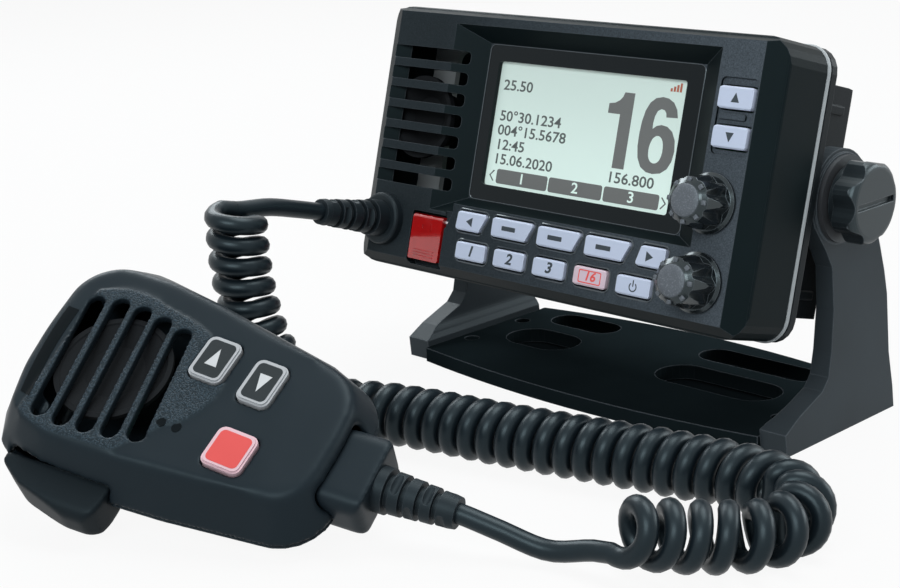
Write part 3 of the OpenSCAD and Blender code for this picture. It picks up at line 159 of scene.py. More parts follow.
def textMesh(words, x, y, z0, z1, size, wide, bold, slant=0.0, centre=True):
    curve = bpy.data.curves.new("text", "FONT")
    curve.body = words
    curve.size = size
    curve.offset = bold
    curve.shear = slant
    curve.extrude = (z1 - z0) / 2
    curve.resolution_u = 3
    if centre:
        curve.align_x = "CENTER"
        curve.align_y = "CENTER"
    mesh = takeMesh(addObject("text", curve))
    shift = Matrix.Translation((x, y, (z0 + z1) / 2))
    mesh.transform(Matrix.Scale(mm, 4) @ radioPlace @ shift @ Matrix.Diagonal((wide, 1, 1, 1)))
    return mesh


def meshFrom(work, name):
    mesh = bpy.data.meshes.new(name)
    work.to_mesh(mesh)
    work.free()
    return mesh


def joined(name, meshes):
    work = bmesh.new()
    for mesh in meshes:
        work.from_mesh(mesh)
        bpy.data.meshes.remove(mesh)
    bmesh.ops.remove_doubles(work, verts=work.verts, dist=1e-7)
    bmesh.ops.recalc_face_normals(work, faces=work.faces)
    mesh = meshFrom(work, name)
    smoothFaces(mesh, 35)
    return addObject(name, mesh)


def arcPoints(cx, cy, r, a0, a1, n):
    return [(cx + r * math.cos(math.radians(a0 + (a1 - a0) * i / n)),
             cy + r * math.sin(math.radians(a0 + (a1 - a0) * i / n))) for i in range(n + 1)]


def roundRect(x0, y0, x1, y1, r, n=5):
    return (arcPoints(x1 - r, y1 - r, r, 0, 90, n) + arcPoints(x0 + r, y1 - r, r, 90, 180, n)
            + arcPoints(x0 + r, y0 + r, r, 180, 270, n) + arcPoints(x1 - r, y0 + r, r, 270, 360, n))


def keyOutline(x, y, w, h, leanL=0, leanR=0, grow=0, r=1.1):
    a, b = w / 2 + grow, h / 2 + grow
    points = (arcPoints(a + leanR - r, b - r, r, 0, 90, 4) + arcPoints(-a + leanL + r, b - r, r, 90, 180, 4)
              + arcPoints(-a + r, -b + r, r, 180, 270, 4) + arcPoints(a - r, -b + r, r, 270, 360, 4))
    return [(x + px, y + py) for px, py in points]


def between(a, b, c, d, t):
    # the point at t from b to c on a smooth line through four points
    return 0.5 * (2 * b + (c - a) * t + (2 * a - 5 * b + 4 * c - d) * t * t + (3 * b - a - 3 * c + d) * t ** 3)


def smoothLoop(points, steps):
    count, out = len(points), []
    for i in range(count):
        a, b, c, d = (points[(i + k - 1) % count] for k in range(4))
        out += [tuple(between(a[k], b[k], c[k], d[k], j / steps) for k in range(2)) for j in range(steps)]
    return out


def spunPiece(name, profile, place, steps, smooth):
    # profile of (radius, height) turned about Z, its ends on the axis closed to a point
    verts, faces, rings = [], [], []
    for r, z in profile:
        if r < 1e-6:
            rings.append([len(verts)])
            verts.append((0, 0, z))
        else:
            rings.append(list(range(len(verts), len(verts) + steps)))
            angles = [2 * math.pi * i / steps for i in range(steps)]
            verts += [(r * math.cos(a), r * math.sin(a), z) for a in angles]
    for low, high in zip(rings, rings[1:]):
        for i in range(steps):
            j = (i + 1) % steps
            ring = [low[i % len(low)], low[j % len(low)], high[j % len(high)], high[i % len(high)]]
            faces.append(list(dict.fromkeys(ring)))
    return meshPiece(name, verts, faces, place, smooth=smooth)


softRule = {"margin": 0.8, "seamFade": 2.5, "strength": 0.5, "smooth": 60}


def softened(name, node, place, settings):
    # a moulding with its edges relaxed, away from the openings and the seam that have to stay crisp
    work = bmesh.new()
    work.from_mesh(nodes[node].data)
    bmesh.ops.remove_doubles(work, verts=work.verts, dist=1e-6)
    piece = addObject(name, meshFrom(work, name))
    even = piece.modifiers.new("even", "REMESH")
    even.mode = "VOXEL"
    even.voxel_size = settings["voxel"] * mm
    piece = applyModifiers(piece)
    back = (Matrix.Scale(mm, 4) @ place).inverted()
    relaxed = piece.vertex_groups.new(name="relaxed")
    low, high = settings["seam"]
    for vertex in piece.data.vertices:
        x, y, z = back @ vertex.co
        weight = 1.0
        for x0, y0, x1, y1 in settings["crisp"]:
            away = math.hypot(max(x0 - x, 0, x - x1), max(y0 - y, 0, y - y1))
            weight = min(weight, max(0, (away - softRule["margin"]) / settings["fade"]))
        if low is not None:
            weight = min(weight, max(0, (z - low) / softRule["seamFade"]))
        if high is not None:
            weight = min(weight, max(0, (high - z) / softRule["seamFade"]))
        if weight > 0:
            relaxed.add([vertex.index], weight, "REPLACE")
    relax = piece.modifiers.new("relax", "SMOOTH")
    relax.factor = softRule["strength"]
    relax.iterations = settings["passes"]
    relax.vertex_group = "relaxed"
    return applyModifiers(piece, softRule["smooth"])


# makers of nodes and of Geometry Nodes trees
def addNode(tree, kind, **values):
    node = tree.nodes.new(kind)
    for key, value in values.items():
        if key in node.inputs:
            node.inputs[key].default_value = value
        else:
            setattr(node, key, value)
    return node


def feed(node, values):
    # each input takes a link from a socket, or else the value itself
    for name, value in values.items():
        if isinstance(value, bpy.types.NodeSocket):
            node.id_data.links.new(value, node.inputs[name])
        else:
            node.inputs[name].default_value = value
    return node


def newTree(name, inputs):
    tree = bpy.data.node_groups.new(name, "GeometryNodeTree")
    tree.interface.new_socket("Geometry", in_out="INPUT", socket_type="NodeSocketGeometry")
    for label, kind in inputs:
        tree.interface.new_socket(label, in_out="INPUT", socket_type=kind)
    tree.interface.new_socket("Geometry", in_out="OUTPUT", socket_type="NodeSocketGeometry")
    return tree, tree.nodes.new("NodeGroupInput"), tree.nodes.new("NodeGroupOutput")


def endTree(tree, last, start, end):
    whole = feed(addNode(tree, "GeometryNodeRealizeInstances"), {0: last})
    paint = feed(addNode(tree, "GeometryNodeSetMaterial"),
                 {"Geometry": whole.outputs[0], "Material": start.outputs["Material"]})
    feed(end, {0: paint.outputs[0]})
    return tree


def runTree(piece, tree, values):
    modifier = piece.modifiers.new(tree.name, "NODES")
    modifier.node_group = tree
    for item in tree.interface.items_tree:
        if item.in_out == "INPUT" and item.name in values:
            modifier[item.identifier] = values[item.name]
    return applyModifiers(piece)


def rimTree():
    # a round bead of a given radius along the edges of a mesh
    tree, start, end = newTree("beadAlongEdges", [("Radius", "NodeSocketFloat"), ("Sides", "NodeSocketInt"),
                                                   ("Material", "NodeSocketMaterial")])
    given = start.outputs
    line = feed(addNode(tree, "GeometryNodeMeshToCurve"), {"Mesh": given["Geometry"]})
    ring = feed(addNode(tree, "GeometryNodeCurvePrimitiveCircle"),
                {"Radius": given["Radius"], "Resolution": given["Sides"]})
    skin = feed(addNode(tree, "GeometryNodeCurveToMesh"),
                {"Curve": line.outputs[0], "Profile Curve": ring.outputs[0], "Fill Caps": True})
    return endTree(tree, skin.outputs[0], start, end)


def rowTree():
    # one shape set on every point of a mesh, turned as the point's own attribute says
    tree, start, end = newTree("shapeOnPoints", [("Shape", "NodeSocketObject"), ("Scale", "NodeSocketFloat"),
                                                  ("Material", "NodeSocketMaterial")])
    given = start.outputs
    shape = feed(addNode(tree, "GeometryNodeObjectInfo"), {0: given["Shape"]})
    turn = feed(addNode(tree, "GeometryNodeInputNamedAttribute", data_type="FLOAT_VECTOR"), {"Name": "turn"})
    place = feed(addNode(tree, "GeometryNodeInstanceOnPoints"),
                 {"Points": given["Geometry"], "Instance": shape.outputs["Geometry"],
                  "Rotation": turn.outputs["Attribute"], "Scale": given["Scale"]})
    return endTree(tree, place.outputs[0], start, end)


beadAlongEdges = rimTree()
shapeOnPoints = rowTree()


def beadPiece(name, loops, radius, look, place, z=0.0):
    verts, edges = [], []
    for loop in loops:
        first, count = len(verts), len(loop)
        verts += [(x, y, z) for x, y in loop]
        edges += [(first + i, first + (i + 1) % count) for i in range(count)]
    piece = meshPiece(name, verts, [], place, edges=edges)
    return runTree(piece, beadAlongEdges, {"Radius": radius * mm, "Sides": 8, "Material": look})


def repeatedPiece(name, shape, places, look):
    # places: 4x4 matrices in millimetres, one for each copy
    mesh = bpy.data.meshes.new(name)
    mesh.from_pydata([m.to_translation() * mm for m in places], [], [])
    turns = mesh.attributes.new("turn", "FLOAT_VECTOR", "POINT")
    for i, m in enumerate(places):
        turns.data[i].vector = m.to_euler()
    return runTree(addObject(name, mesh), shapeOnPoints, {"Shape": shape, "Scale": 1.0, "Material": look})


def softBlock(name, w, d, h, r):
    # a small block with rounded edges, for copies
    work = bmesh.new()
    bmesh.ops.create_cube(work, size=1)
    bmesh.ops.scale(work, vec=(w * mm, d * mm, h * mm), verts=work.verts)
    bmesh.ops.bevel(work, geom=list(work.edges), offset=r * mm, segments=2, affect="EDGES", profile=0.5)
    return bpy.data.objects.new(name, meshFrom(work, name))


# materials: every one is built from nodes on the piece's own coordinates
def newMaterial(name):
    material = bpy.data.materials.new(name)
    material.use_nodes = True
    shader = material.node_tree.nodes["Principled BSDF"]
    return material, material.node_tree, shader


def tone(colour, factor):
    return (colour[0] * factor, colour[1] * factor, colour[2] * factor, 1)


def mixColour(tree, factor, a, b):
    return feed(addNode(tree, "ShaderNodeMix", data_type="RGBA"), {0: factor, 6: a, 7: b}).outputs[2]


def noiseOf(tree, place, **values):
    return feed(addNode(tree, "ShaderNodeTexNoise", **values), {"Vector": place}).outputs["Fac"]


def rangeOf(tree, value, low=0.0, high=1.0, toLow=0.0, toHigh=1.0):
    return feed(addNode(tree, "ShaderNodeMapRange"), {"Value": value, "From Min": low, "From Max": high,
                                                      "To Min": toLow, "To Max": toHigh}).outputs[0]


def partOf(tree, vector, axis):
    return feed(addNode(tree, "ShaderNodeSeparateXYZ"), {0: vector}).outputs[axis]


def mathOf(tree, operation, first, second):
    return feed(addNode(tree, "ShaderNodeMath", operation=operation), {0: first, 1: second}).outputs[0]


def dotOf(tree, first, second):
    node = addNode(tree, "ShaderNodeVectorMath", operation="DOT_PRODUCT")
    return feed(node, {0: first, 1: second}).outputs["Value"]


def bumpOf(tree, height, strength, deep, under=None):
    # deep in millimetres; under is the normal that the bump is laid on
    node = addNode(tree, "ShaderNodeBump", Strength=strength, Distance=deep * mm)
    return feed(node, {"Height": height, "Normal": under} if under else {"Height": height}).outputs[0]


def litFront(tree, coords, fine, base, front):
    # the front plane is painted paler than the slopes and sides, a painted sheen that grows brighter towards +X, and
    # shows its grain; slopes and sides stay black
    facing = dotOf(tree, coords.outputs["Normal"], radioPlace.to_3x3() @ Vector((0, 0, 1)))
    sheenSweep = rangeOf(tree, partOf(tree, coords.outputs["Object"], "X"), *front["sheenSweep"])
    dark, pale = (tone(front["tone"], factor) for factor in front["spread"])
    speckled = mixColour(tree, rangeOf(tree, fine, *front["specks"]), dark, pale)
    share = mathOf(tree, "MULTIPLY", rangeOf(tree, facing, *front["facing"]), sheenSweep)
    return mixColour(tree, share, base, speckled)


def coarsePanel(tree, place, colour, base, raised):
    # a coarser grain on the raised panel, found by its height in the microphone's frame
    back = micPlace.inverted()
    local = feed(addNode(tree, "ShaderNodeMapping"), {"Vector": place, "Location": back.to_translation(),
                                                      "Rotation": back.to_euler(), "Scale": (1 / mm,) * 3})
    panel = rangeOf(tree, partOf(tree, local.outputs[0], "Z"), *raised["height"])
    coarse = noiseOf(tree, place, Scale=1 / mm / raised["grain"], Detail=1.0)
    share = mathOf(tree, "MULTIPLY", rangeOf(tree, coarse, *raised["specks"]), panel)
    return mixColour(tree, share, base, tone(colour, raised["paler"])), bumpOf(tree, share, 0.8, raised["deep"])


def paleEdges(tree, base, edge, wide):
    # paler edges, a painted highlight where the bevelled normal leaves the face's own; the bevelled normal also
    # rounds the shading
    soft = addNode(tree, "ShaderNodeBevel", samples=4, Radius=wide * mm).outputs[0]
    near = dotOf(tree, soft, addNode(tree, "ShaderNodeNewGeometry").outputs["Normal"])
    return mixColour(tree, rangeOf(tree, near, 0.995, 0.86), base, (*edge, 1)), soft


glossTone = (0.72, 0.93, 1.0, 1)


def moulded(name, colour, rough=0.5, grain=0.35, grainDeep=0.03, spread=0.25, speck=0.0, edge=None, edgeWide=0.3,
            coat=0.0, specular=0.5, roughSpread=0.1, raised=None, front=None):
    # grain, grainDeep and edgeWide in millimetres
    material, tree, shader = newMaterial(name)
    coords = addNode(tree, "ShaderNodeTexCoord")
    place = coords.outputs["Object"]
    fine = noiseOf(tree, place, Scale=1 / mm / grain, Detail=2.0, Roughness=0.6)
    broad = noiseOf(tree, place, Scale=38.0, Detail=3.0)
    base, under = mixColour(tree, broad, tone(colour, 1 - spread), tone(colour, 1 + spread)), None
    if speck:
        base = mixColour(tree, rangeOf(tree, fine, 0.52, 0.72), base, tone(colour, 1 + 4 * speck))
    # the front plane's paler tone and its sweep towards +X are painted sheen
    if front:
        base = litFront(tree, coords, fine, base, front)
    if raised:
        base, under = coarsePanel(tree, place, colour, base, raised)
    # edge: the colour of a painted highlight along the edges
    if edge:
        base, under = paleEdges(tree, base, edge, edgeWide)
    rougher = rangeOf(tree, broad, toLow=max(rough - roughSpread, 0.02), toHigh=min(rough + roughSpread, 1))
    feed(shader, {"Base Color": base, "Roughness": rougher, "Normal": bumpOf(tree, fine, 0.6, grainDeep, under),
                  "Specular IOR Level": specular, "Specular Tint": glossTone, "Coat Weight": coat,
                  "Coat Roughness": 0.05})
    return material


def metalLook(name, colour, rough, brushed=0.0):
    material, tree, shader = newMaterial(name)
    place = addNode(tree, "ShaderNodeTexCoord").outputs["Object"]
    stretched = feed(addNode(tree, "ShaderNodeMapping"), {"Vector": place, "Scale": (1, 1 + 12 * brushed, 1)})
    noise = noiseOf(tree, stretched.outputs[0], Scale=900.0, Detail=3.0)
    base = mixColour(tree, noise, tone(colour, 0.85), tone(colour, 1.08))
    rougher = rangeOf(tree, noise, toLow=rough - 0.08, toHigh=rough + 0.1)
    feed(shader, {"Base Color": base, "Roughness": rougher, "Metallic": 1.0,
                  "Normal": bumpOf(tree, noise, 0.3, 0.01)})
    return material


def glowLook(name, low, high, glow):
    # the display: a faint painted glow, darker towards its top, with a faint mottling
    material, tree, shader = newMaterial(name)
    place = addNode(tree, "ShaderNodeTexCoord").outputs["Object"]
    rise = rangeOf(tree, partOf(tree, place, "Z"), (radioZ - 12) * mm, (radioZ + 30) * mm)
    mottle = rangeOf(tree, noiseOf(tree, place, Scale=25.0, Detail=2.0), toHigh=0.25)
    base = mixColour(tree, mottle, mixColour(tree, rise, low, high), tone(low[:3], 0.9))
    feed(shader, {"Base Color": base, "Emission Color": base, "Emission Strength": glow, "Roughness": 0.25})
    return material


def clearRedLook(name, colour, deep):
    material, tree, shader = newMaterial(name)
    noise = noiseOf(tree, addNode(tree, "ShaderNodeTexCoord").outputs["Object"], Scale=160.0, Detail=2.0)
    facing = addNode(tree, "ShaderNodeLayerWeight", Blend=0.45).outputs["Facing"]
    base = mixColour(tree, facing, mixColour(tree, noise, tone(colour, 0.75), tone(colour, 1.15)), (*deep, 1))
    feed(shader, {"Base Color": base, "Normal": bumpOf(tree, noise, 0.2, 0.04), "Roughness": 0.12, "Coat Weight": 0.8,
                  "Subsurface Weight": 0.3, "Subsurface Scale": 0.002, "Subsurface Radius": (1.0, 0.2, 0.2)})
    return material


def boardLook(name):
    material, tree, shader = newMaterial(name)
    tracks = addNode(tree, "ShaderNodeTexBrick", Scale=90.0, Color1=(0.02, 0.12, 0.05, 1),
                     Color2=(0.025, 0.15, 0.07, 1), Mortar=(0.06, 0.28, 0.12, 1))
    feed(tracks, {"Vector": addNode(tree, "ShaderNodeTexCoord").outputs["Object"]})
    feed(shader, {"Base Color": tracks.outputs["Color"], "Roughness": 0.4})
    return material


inkRule = {"grain": 2.0, "grainDeep": 0.001}

# the edge colours below are painted highlights along the edges
look = {
    # face: its front plane is painted paler, brighter towards +X, as painted sheen
    "face": moulded("facePlastic", (0.0042, 0.0080, 0.0092), rough=0.40, grain=0.42, grainDeep=0.05,
                    edge=(0.075, 0.088, 0.10), specular=0.05,
                    front={"tone": (0.066, 0.080, 0.094), "spread": (0.72, 1.35), "specks": (0.35, 0.70),
                           "facing": (0.93, 0.985), "sheenSweep": (-0.055, 0.075, 0.22, 1.0)}),
    # the bracket is one moulding: its base is painted darker as painted shade, and its arms paler as painted sheen
    "bracket": moulded("bracketPlastic", (0.0090, 0.0140, 0.0160), rough=0.40, grain=0.5,
                       edge=(0.11, 0.125, 0.14), edgeWide=0.6, specular=0.0),
    "bracketArm": moulded("bracketArmPlastic", (0.0330, 0.0410, 0.0470), rough=0.40, grain=0.5,
                          edge=(0.11, 0.125, 0.14), edgeWide=0.6, specular=0.10),
    "cast": moulded("castCase", (0.0050, 0.0066, 0.0080), rough=0.45, grain=0.7, grainDeep=0.08, speck=0.15,
                    edge=(0.03, 0.034, 0.04), edgeWide=0.4, specular=0.12),
    "knob": moulded("knobPlastic", (0.0045, 0.0060, 0.0072), rough=0.20, grain=0.6, grainDeep=0.01,
                    edge=(0.10, 0.11, 0.125), coat=0.2),
    "starKnob": moulded("starKnobPlastic", (0.0068, 0.0092, 0.0112), rough=0.35, grain=0.5, grainDeep=0.02,
                        edge=(0.07, 0.08, 0.09), edgeWide=0.5),
    "knobCap": moulded("knobCap", (0.085, 0.092, 0.105), grain=0.45, grainDeep=0.06, speck=0.25),
    "washer": moulded("washerNylon", (0.03, 0.03, 0.033), grain=1.0),
    "gasket": moulded("gasketRubber", (0.34, 0.36, 0.37), rough=0.6, grain=0.8, spread=0.08),
    "lens": moulded("lensGloss", (0.003, 0.003, 0.004), rough=0.06, grain=3.0, grainDeep=0.0005, specular=0.2,
                    roughSpread=0.01),
    "display": glowLook("displayFace", (0.68, 0.83, 0.77, 1), (0.52, 0.62, 0.58, 1), 0.25),
    "ink": moulded("displayInk", (0.155, 0.155, 0.15), rough=0.4, spread=0.06, **inkRule),
    "thinInk": moulded("displayThinInk", (0.10, 0.11, 0.105), rough=0.4, spread=0.06, **inkRule),
    "redInk": moulded("displayRedInk", (0.45, 0.12, 0.07), rough=0.4, spread=0.1, **inkRule),
    "keyPink": moulded("keyPinkPlastic", (0.70, 0.55, 0.62), rough=0.35, grain=1.5, grainDeep=0.004, spread=0.04),
    "key": moulded("keyPlastic", (0.55, 0.61, 0.76), rough=0.35, grain=1.5, grainDeep=0.004, spread=0.04,
                   edge=(0.66, 0.72, 0.86), edgeWide=0.25),
    "keyInk": moulded("keyInk", (0.030, 0.036, 0.045), spread=0.1, **inkRule),
    "keyRed": moulded("keyRedInk", (0.80, 0.09, 0.08), spread=0.06, **inkRule),
    "rim": moulded("rimGloss", (0.045, 0.052, 0.06), rough=0.12, coat=0.3, **inkRule),
    "board": boardLook("circuitBoard"),
    "cone": moulded("speakerCone", (0.007, 0.007, 0.008), rough=0.8, grain=0.8, grainDeep=0.08, specular=0.15),
    "rubber": moulded("blackRubber", (0.008, 0.010, 0.012), rough=0.7, grain=0.8, specular=0.2),
    "cord": moulded("cordRubber", (0.0060, 0.0100, 0.0135), rough=0.36, grain=0.9, grainDeep=0.02, spread=0.15,
                    specular=0.26),
    "relief": moulded("reliefRubber", (0.0075, 0.0110, 0.0140), grain=0.6, grainDeep=0.04, specular=0.2,
                      edge=(0.05, 0.058, 0.066)),
    "mic": moulded("micPlastic", (0.0085, 0.0132, 0.0175), rough=0.42, grain=0.45, grainDeep=0.02, spread=0.06,
                   specular=0.15, raised={"height": (0.15, 0.40), "grain": 0.55, "specks": (0.40, 0.66),
                                          "deep": 0.10, "paler": 2.9}),
    "micKey": moulded("micKeyGrey", (0.36, 0.37, 0.385), rough=0.45, grain=1.0, spread=0.05),
    "plate": moulded("handsetPlate", (0.0022, 0.0034, 0.0044), rough=0.30, grain=1.5, grainDeep=0.002, specular=0.08),
    "micKeyPink": moulded("micKeyPink", (0.62, 0.42, 0.46), rough=0.4, grain=1.0, spread=0.05),
    "micInlay": moulded("micInlay", (0.0110, 0.0125, 0.0140), grain=1.0, spread=0.08, specular=0.25),
    "micMark": moulded("micMark", (0.50, 0.51, 0.52), grain=1.5, spread=0.05),
    "micRed": moulded("micRed", (0.60, 0.062, 0.055), rough=0.45, grain=1.0, spread=0.08),
    "talk": moulded("talkRubber", (0.0060, 0.0090, 0.0115), grain=0.8, grainDeep=0.04, specular=0.12,
                    edge=(0.04, 0.045, 0.052)),
    "red": clearRedLook("clearRed", (0.50, 0.010, 0.010), (0.22, 0.002, 0.004)),
    "redButton": moulded("redButton", (0.55, 0.03, 0.03), rough=0.4, grain=1.5, spread=0.05),
    "steel": metalLook("steel", (0.60, 0.61, 0.63), 0.28, 0.5),
    "brass": metalLook("brass", (0.68, 0.50, 0.22), 0.32),
}
print("materials ready:", len(look))

nodeLooks = {
    "bracket": ["bracket_base"], "bracketArm": ["bracket_arm_left", "bracket_arm_right"],
    "face": ["front_bezel"], "cast": ["rear_case"], "gasket": ["gasket"],
    "starKnob": ["tilt_knob_left", "tilt_knob_right"], "knob": ["channel_knob", "volume_knob"],
    "washer": ["outer_washers", "inner_washers"], "lens": ["lens"], "display": ["lcd_module"],
    "steel": ["knob_stud_left", "knob_stud_right", "case_screws", "aerial_socket", "channel_shaft", "volume_shaft",
              "cover_pin", "mic_screws", "hang_stud"],
    "board": ["main_board", "key_board", "mic_board"], "cone": ["speaker", "mic_speaker"],
    "brass": ["pivot_inserts"], "rubber": ["power_gland", "mic_seal"],
    "key": ["up_key", "down_key", "left_key", "soft_key_1", "soft_key_2", "soft_key_3", "right_key",
            "menu_key_1", "menu_key_2", "menu_key_3", "power_key"],
    "keyPink": ["calling_key"],
    "red": ["distress_cover"], "redButton": ["distress_button"], "micRed": ["mic_red_key"],
    "mic": ["mic_front_shell", "mic_back_shell", "cord_block"], "micKey": ["mic_up_key", "mic_down_key"],
    "talk": ["talk_bar"], "relief": ["cord_gland", "radio_strain_relief", "mic_strain_relief"],
    "cord": ["cord_lead", "curly_cord", "cord_tail"],
}
for finish, members in nodeLooks.items():
    for member in members:
        nodes[member].data.materials.clear()
        nodes[member].data.materials.append(look[finish])
print("finishes on", sum(len(m) for m in nodeLooks.values()), "nodes")

# the curly cord: the same route and rule as the solid, with finer steps
cordLook = {
    "thick": 6.0, "overCurls": 20.4, "gap": 0.55, "lean": 30.0, "leanOver": 2.2, "leanRoom": 5.0,
    "press": 0.5, "pressFrom": 30, "pressOver": 14, "rings": 8, "fine": 3, "leadSides": 20,
    "leadAt": (-70.2, -29.6, 31), "leadVia": [(-70.2, -94, 70), (-70.2, -106, 73)], "leadIn": 4, "leadEase": 20,
    "tailAt": (140.5, -4, -13), "tailVia": [(66.5, -143, 8.4), (79.5, -137.5, 4.2)], "tailIn": 3,
    "route": [(-63, -125, 90), (-63, -125, 76), (-62.5, -125, 60), (-60.5, -124, 44), (-57, -121, 29),
              (-50, -115.5, 16.5), (-38, -107.5, 10.6), (-22, -100.5, 10.2), (-4, -96, 10.2), (14, -92.5, 10.2),
              (32, -88.5, 10.2), (50, -84, 10.2), (68, -79.5, 10.2), (86, -75.5, 10.2), (100, -73.5, 10.2),
              (113, -75, 10.2), (123, -82.5, 10.2), (127, -94, 10.2), (123.5, -105.5, 10.2), (115.5, -115.5, 10.8),
              (107.5, -125.3, 12.6), (99.5, -135, 15), (91.5, -144.5, 17)],
}


def splineAt(points, s):
    i = max(1, min(int(math.floor(s)), len(points) - 3))
    return between(*(Vector(points[i + k]) for k in (-1, 0, 1, 2)), s - i)


def curlLine(settings):
    # the middle of the wire, turn by turn round the route, up to the low point where the tail begins
    route, curlR = settings["route"], (settings["overCurls"] - settings["thick"]) / 2
    end, rings, fine = len(route) - 2, settings["rings"], settings["fine"]

    def slopeAt(s):
        return (splineAt(route, s + 0.02) - splineAt(route, s - 0.02)) / 0.04

    def turnAt(s):
        return (splineAt(route, s + 0.05) - 2 * splineAt(route, s) + splineAt(route, s - 0.05)) / 0.0025

    def bendAt(s):
        a = slopeAt(s)
        return max(curlR + 4, 1 / max(a.cross(turnAt(s)).length / a.length ** 3, 0.0001))

    def bendNear(s):
        return min(bendAt(s - 0.25), bendAt(s), bendAt(s + 0.25))

    def eased(t):
        t = max(0, min(1, t))
        return t * t * (3 - 2 * t)

    def leanPart(s):
        return max(0, min(1, (s - end + settings["leanOver"]) / settings["leanOver"]))

    def leanAt(s):
        return math.radians(settings["lean"] * eased(leanPart(s)))

    def pressAt(s):
        return settings["press"] * eased((settings["pressFrom"] - bendNear(s)) / settings["pressOver"])

    def inwardAt(s):
        a, b = slopeAt(s).normalized(), turnAt(s)
        b = b - b.dot(a) * a
        return b / max(b.length, 0.001)

    def pitchAt(s):
        r, t = bendNear(s), leanPart(s)
        room = settings["thick"] + settings["gap"] + settings["leanRoom"] * t * (1 - t)
        return room * r / (r - curlR * (1 - pressAt(s))) / math.cos(leanAt(s))

    steps = [1.0]
    while steps[-1] < end:
        s = steps[-1]
        steps.append(s + pitchAt(s) / rings / slopeAt(s).length)
    steps.pop()
    side, points, coarse = Vector((-1, 0, 0)), [], []
    for i, s in enumerate(steps):
        parts = fine if i + 1 < len(steps) else 1
        for k in range(parts):
            here = s + (steps[i + 1] - s) * k / parts if parts > 1 else s
            ahead = slopeAt(here).normalized()
            if points:
                side = (side - side.dot(ahead) * ahead).normalized()
            turn = 2 * math.pi * (i + k / parts) / rings
            v = math.cos(turn) * side - math.sin(turn) * ahead.cross(side)
            inner = inwardAt(here)
            v = v - pressAt(here) * max(0, v.dot(inner)) ** 2 * inner
            level = Vector((0, 0, 1)).cross(ahead)
            h = level / max(level.length, 0.001)
            tip = leanAt(here)
            tilted = v + v.dot(h) * ((math.cos(tip) - 1) * h - math.sin(tip) * ahead)
            points.append(splineAt(route, here) + curlR * tilted)
            if k == 0:
                coarse.append(len(points) - 1)
    tailStart = min(coarse[-rings:], key=lambda n: round(points[n].z, 4))
    return points[: tailStart + 1]


def midLine(points):
    # the same fifteen stations as in the solid, between the second and the last point but one
    return [splineAt(points, 1 + 3 * i / 14) for i in range(15)]


# the lead to the first curl and the tail to the microphone
thick = cordLook["thick"]
curlIn = Vector((0, -math.cos(tiltRest), 0.25)).normalized()
curlOut = Vector((-0.99, -0.06, -0.14)).normalized()
curls = curlLine(cordLook)
curlStart = curls[0] - thick * curlIn
curlExit = curls[-1] + thick * curlOut
leadStart = onRadio(*cordLook["leadAt"]) / mm
leadAhead = Vector((0, -math.cos(tiltRest), math.sin(tiltRest)))
leadRoute = [leadStart - cordLook["leadEase"] * leadAhead, leadStart, *cordLook["leadVia"],
             curlStart, curlStart + 2 * thick * curlIn]
leadLine = [leadStart - cordLook["leadIn"] * leadAhead] + midLine(leadRoute) + [curlStart + thick / 4 * curlIn]
tailStart = onMic(*cordLook["tailAt"]) / mm
tailAhead = (micPlace.to_3x3() @ Vector((1, 0, 0))).normalized()
tailRoute = [tailStart - 2 * thick * tailAhead, tailStart, *cordLook["tailVia"],
             curlExit, curlExit - 2 * thick * curlOut]
tailLine = [tailStart - cordLook["tailIn"] * tailAhead] + midLine(tailRoute)


def makeCurlyCord(settings):
    line = [curlStart] + curls + list(reversed(tailLine))
    curve = bpy.data.curves.new("curlyCordCurve", "CURVE")
    curve.dimensions = "3D"
    spline = curve.splines.new("POLY")
    spline.points.add(len(line) - 1)
    for point, place in zip(spline.points, line):
        point.co = (*(place * mm), 1)
    curve.bevel_depth = settings["thick"] / 2 * mm
    curve.bevel_resolution = 4
    curve.use_fill_caps = True
    spline.use_smooth = True
    curve.materials.append(look["cord"])
    piece = addObject("curlyCordPiece", curve)
    finishPiece(piece, "root", replaced=("curly_cord", "cord_tail"))


def tubePiece(name, line, radius, sides):
    verts, faces, normal = [], [], None
    angles = [2 * math.pi * k / sides for k in range(sides)]
    for i, place in enumerate(line):
        ahead = (line[min(i + 1, len(line) - 1)] - line[max(i - 1, 0)]).normalized()
        normal = (ahead.orthogonal() if normal is None else normal - normal.dot(ahead) * ahead).normalized()
        other = ahead.cross(normal)
        verts += [place + radius * (math.cos(a) * normal + math.sin(a) * other) for a in angles]
    for i in range(len(line) - 1):
        for k in range(sides):
            m = (k + 1) % sides
            faces.append((i * sides + k, i * sides + m, (i + 1) * sides + m, (i + 1) * sides + k))
    faces.append(tuple(reversed(range(sides))))
    faces.append(tuple((len(line) - 1) * sides + k for k in range(sides)))
    return meshPiece(name, verts, faces, worldPlace, smooth=50)


def makeLead(settings):
    piece = tubePiece("cordLeadPiece", leadLine, settings["thick"] / 2, settings["leadSides"])
    piece.data.materials.append(look["cord"])
    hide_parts("cord_lead")
    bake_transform(piece)


makeCurlyCord(cordLook)
makeLead(cordLook)
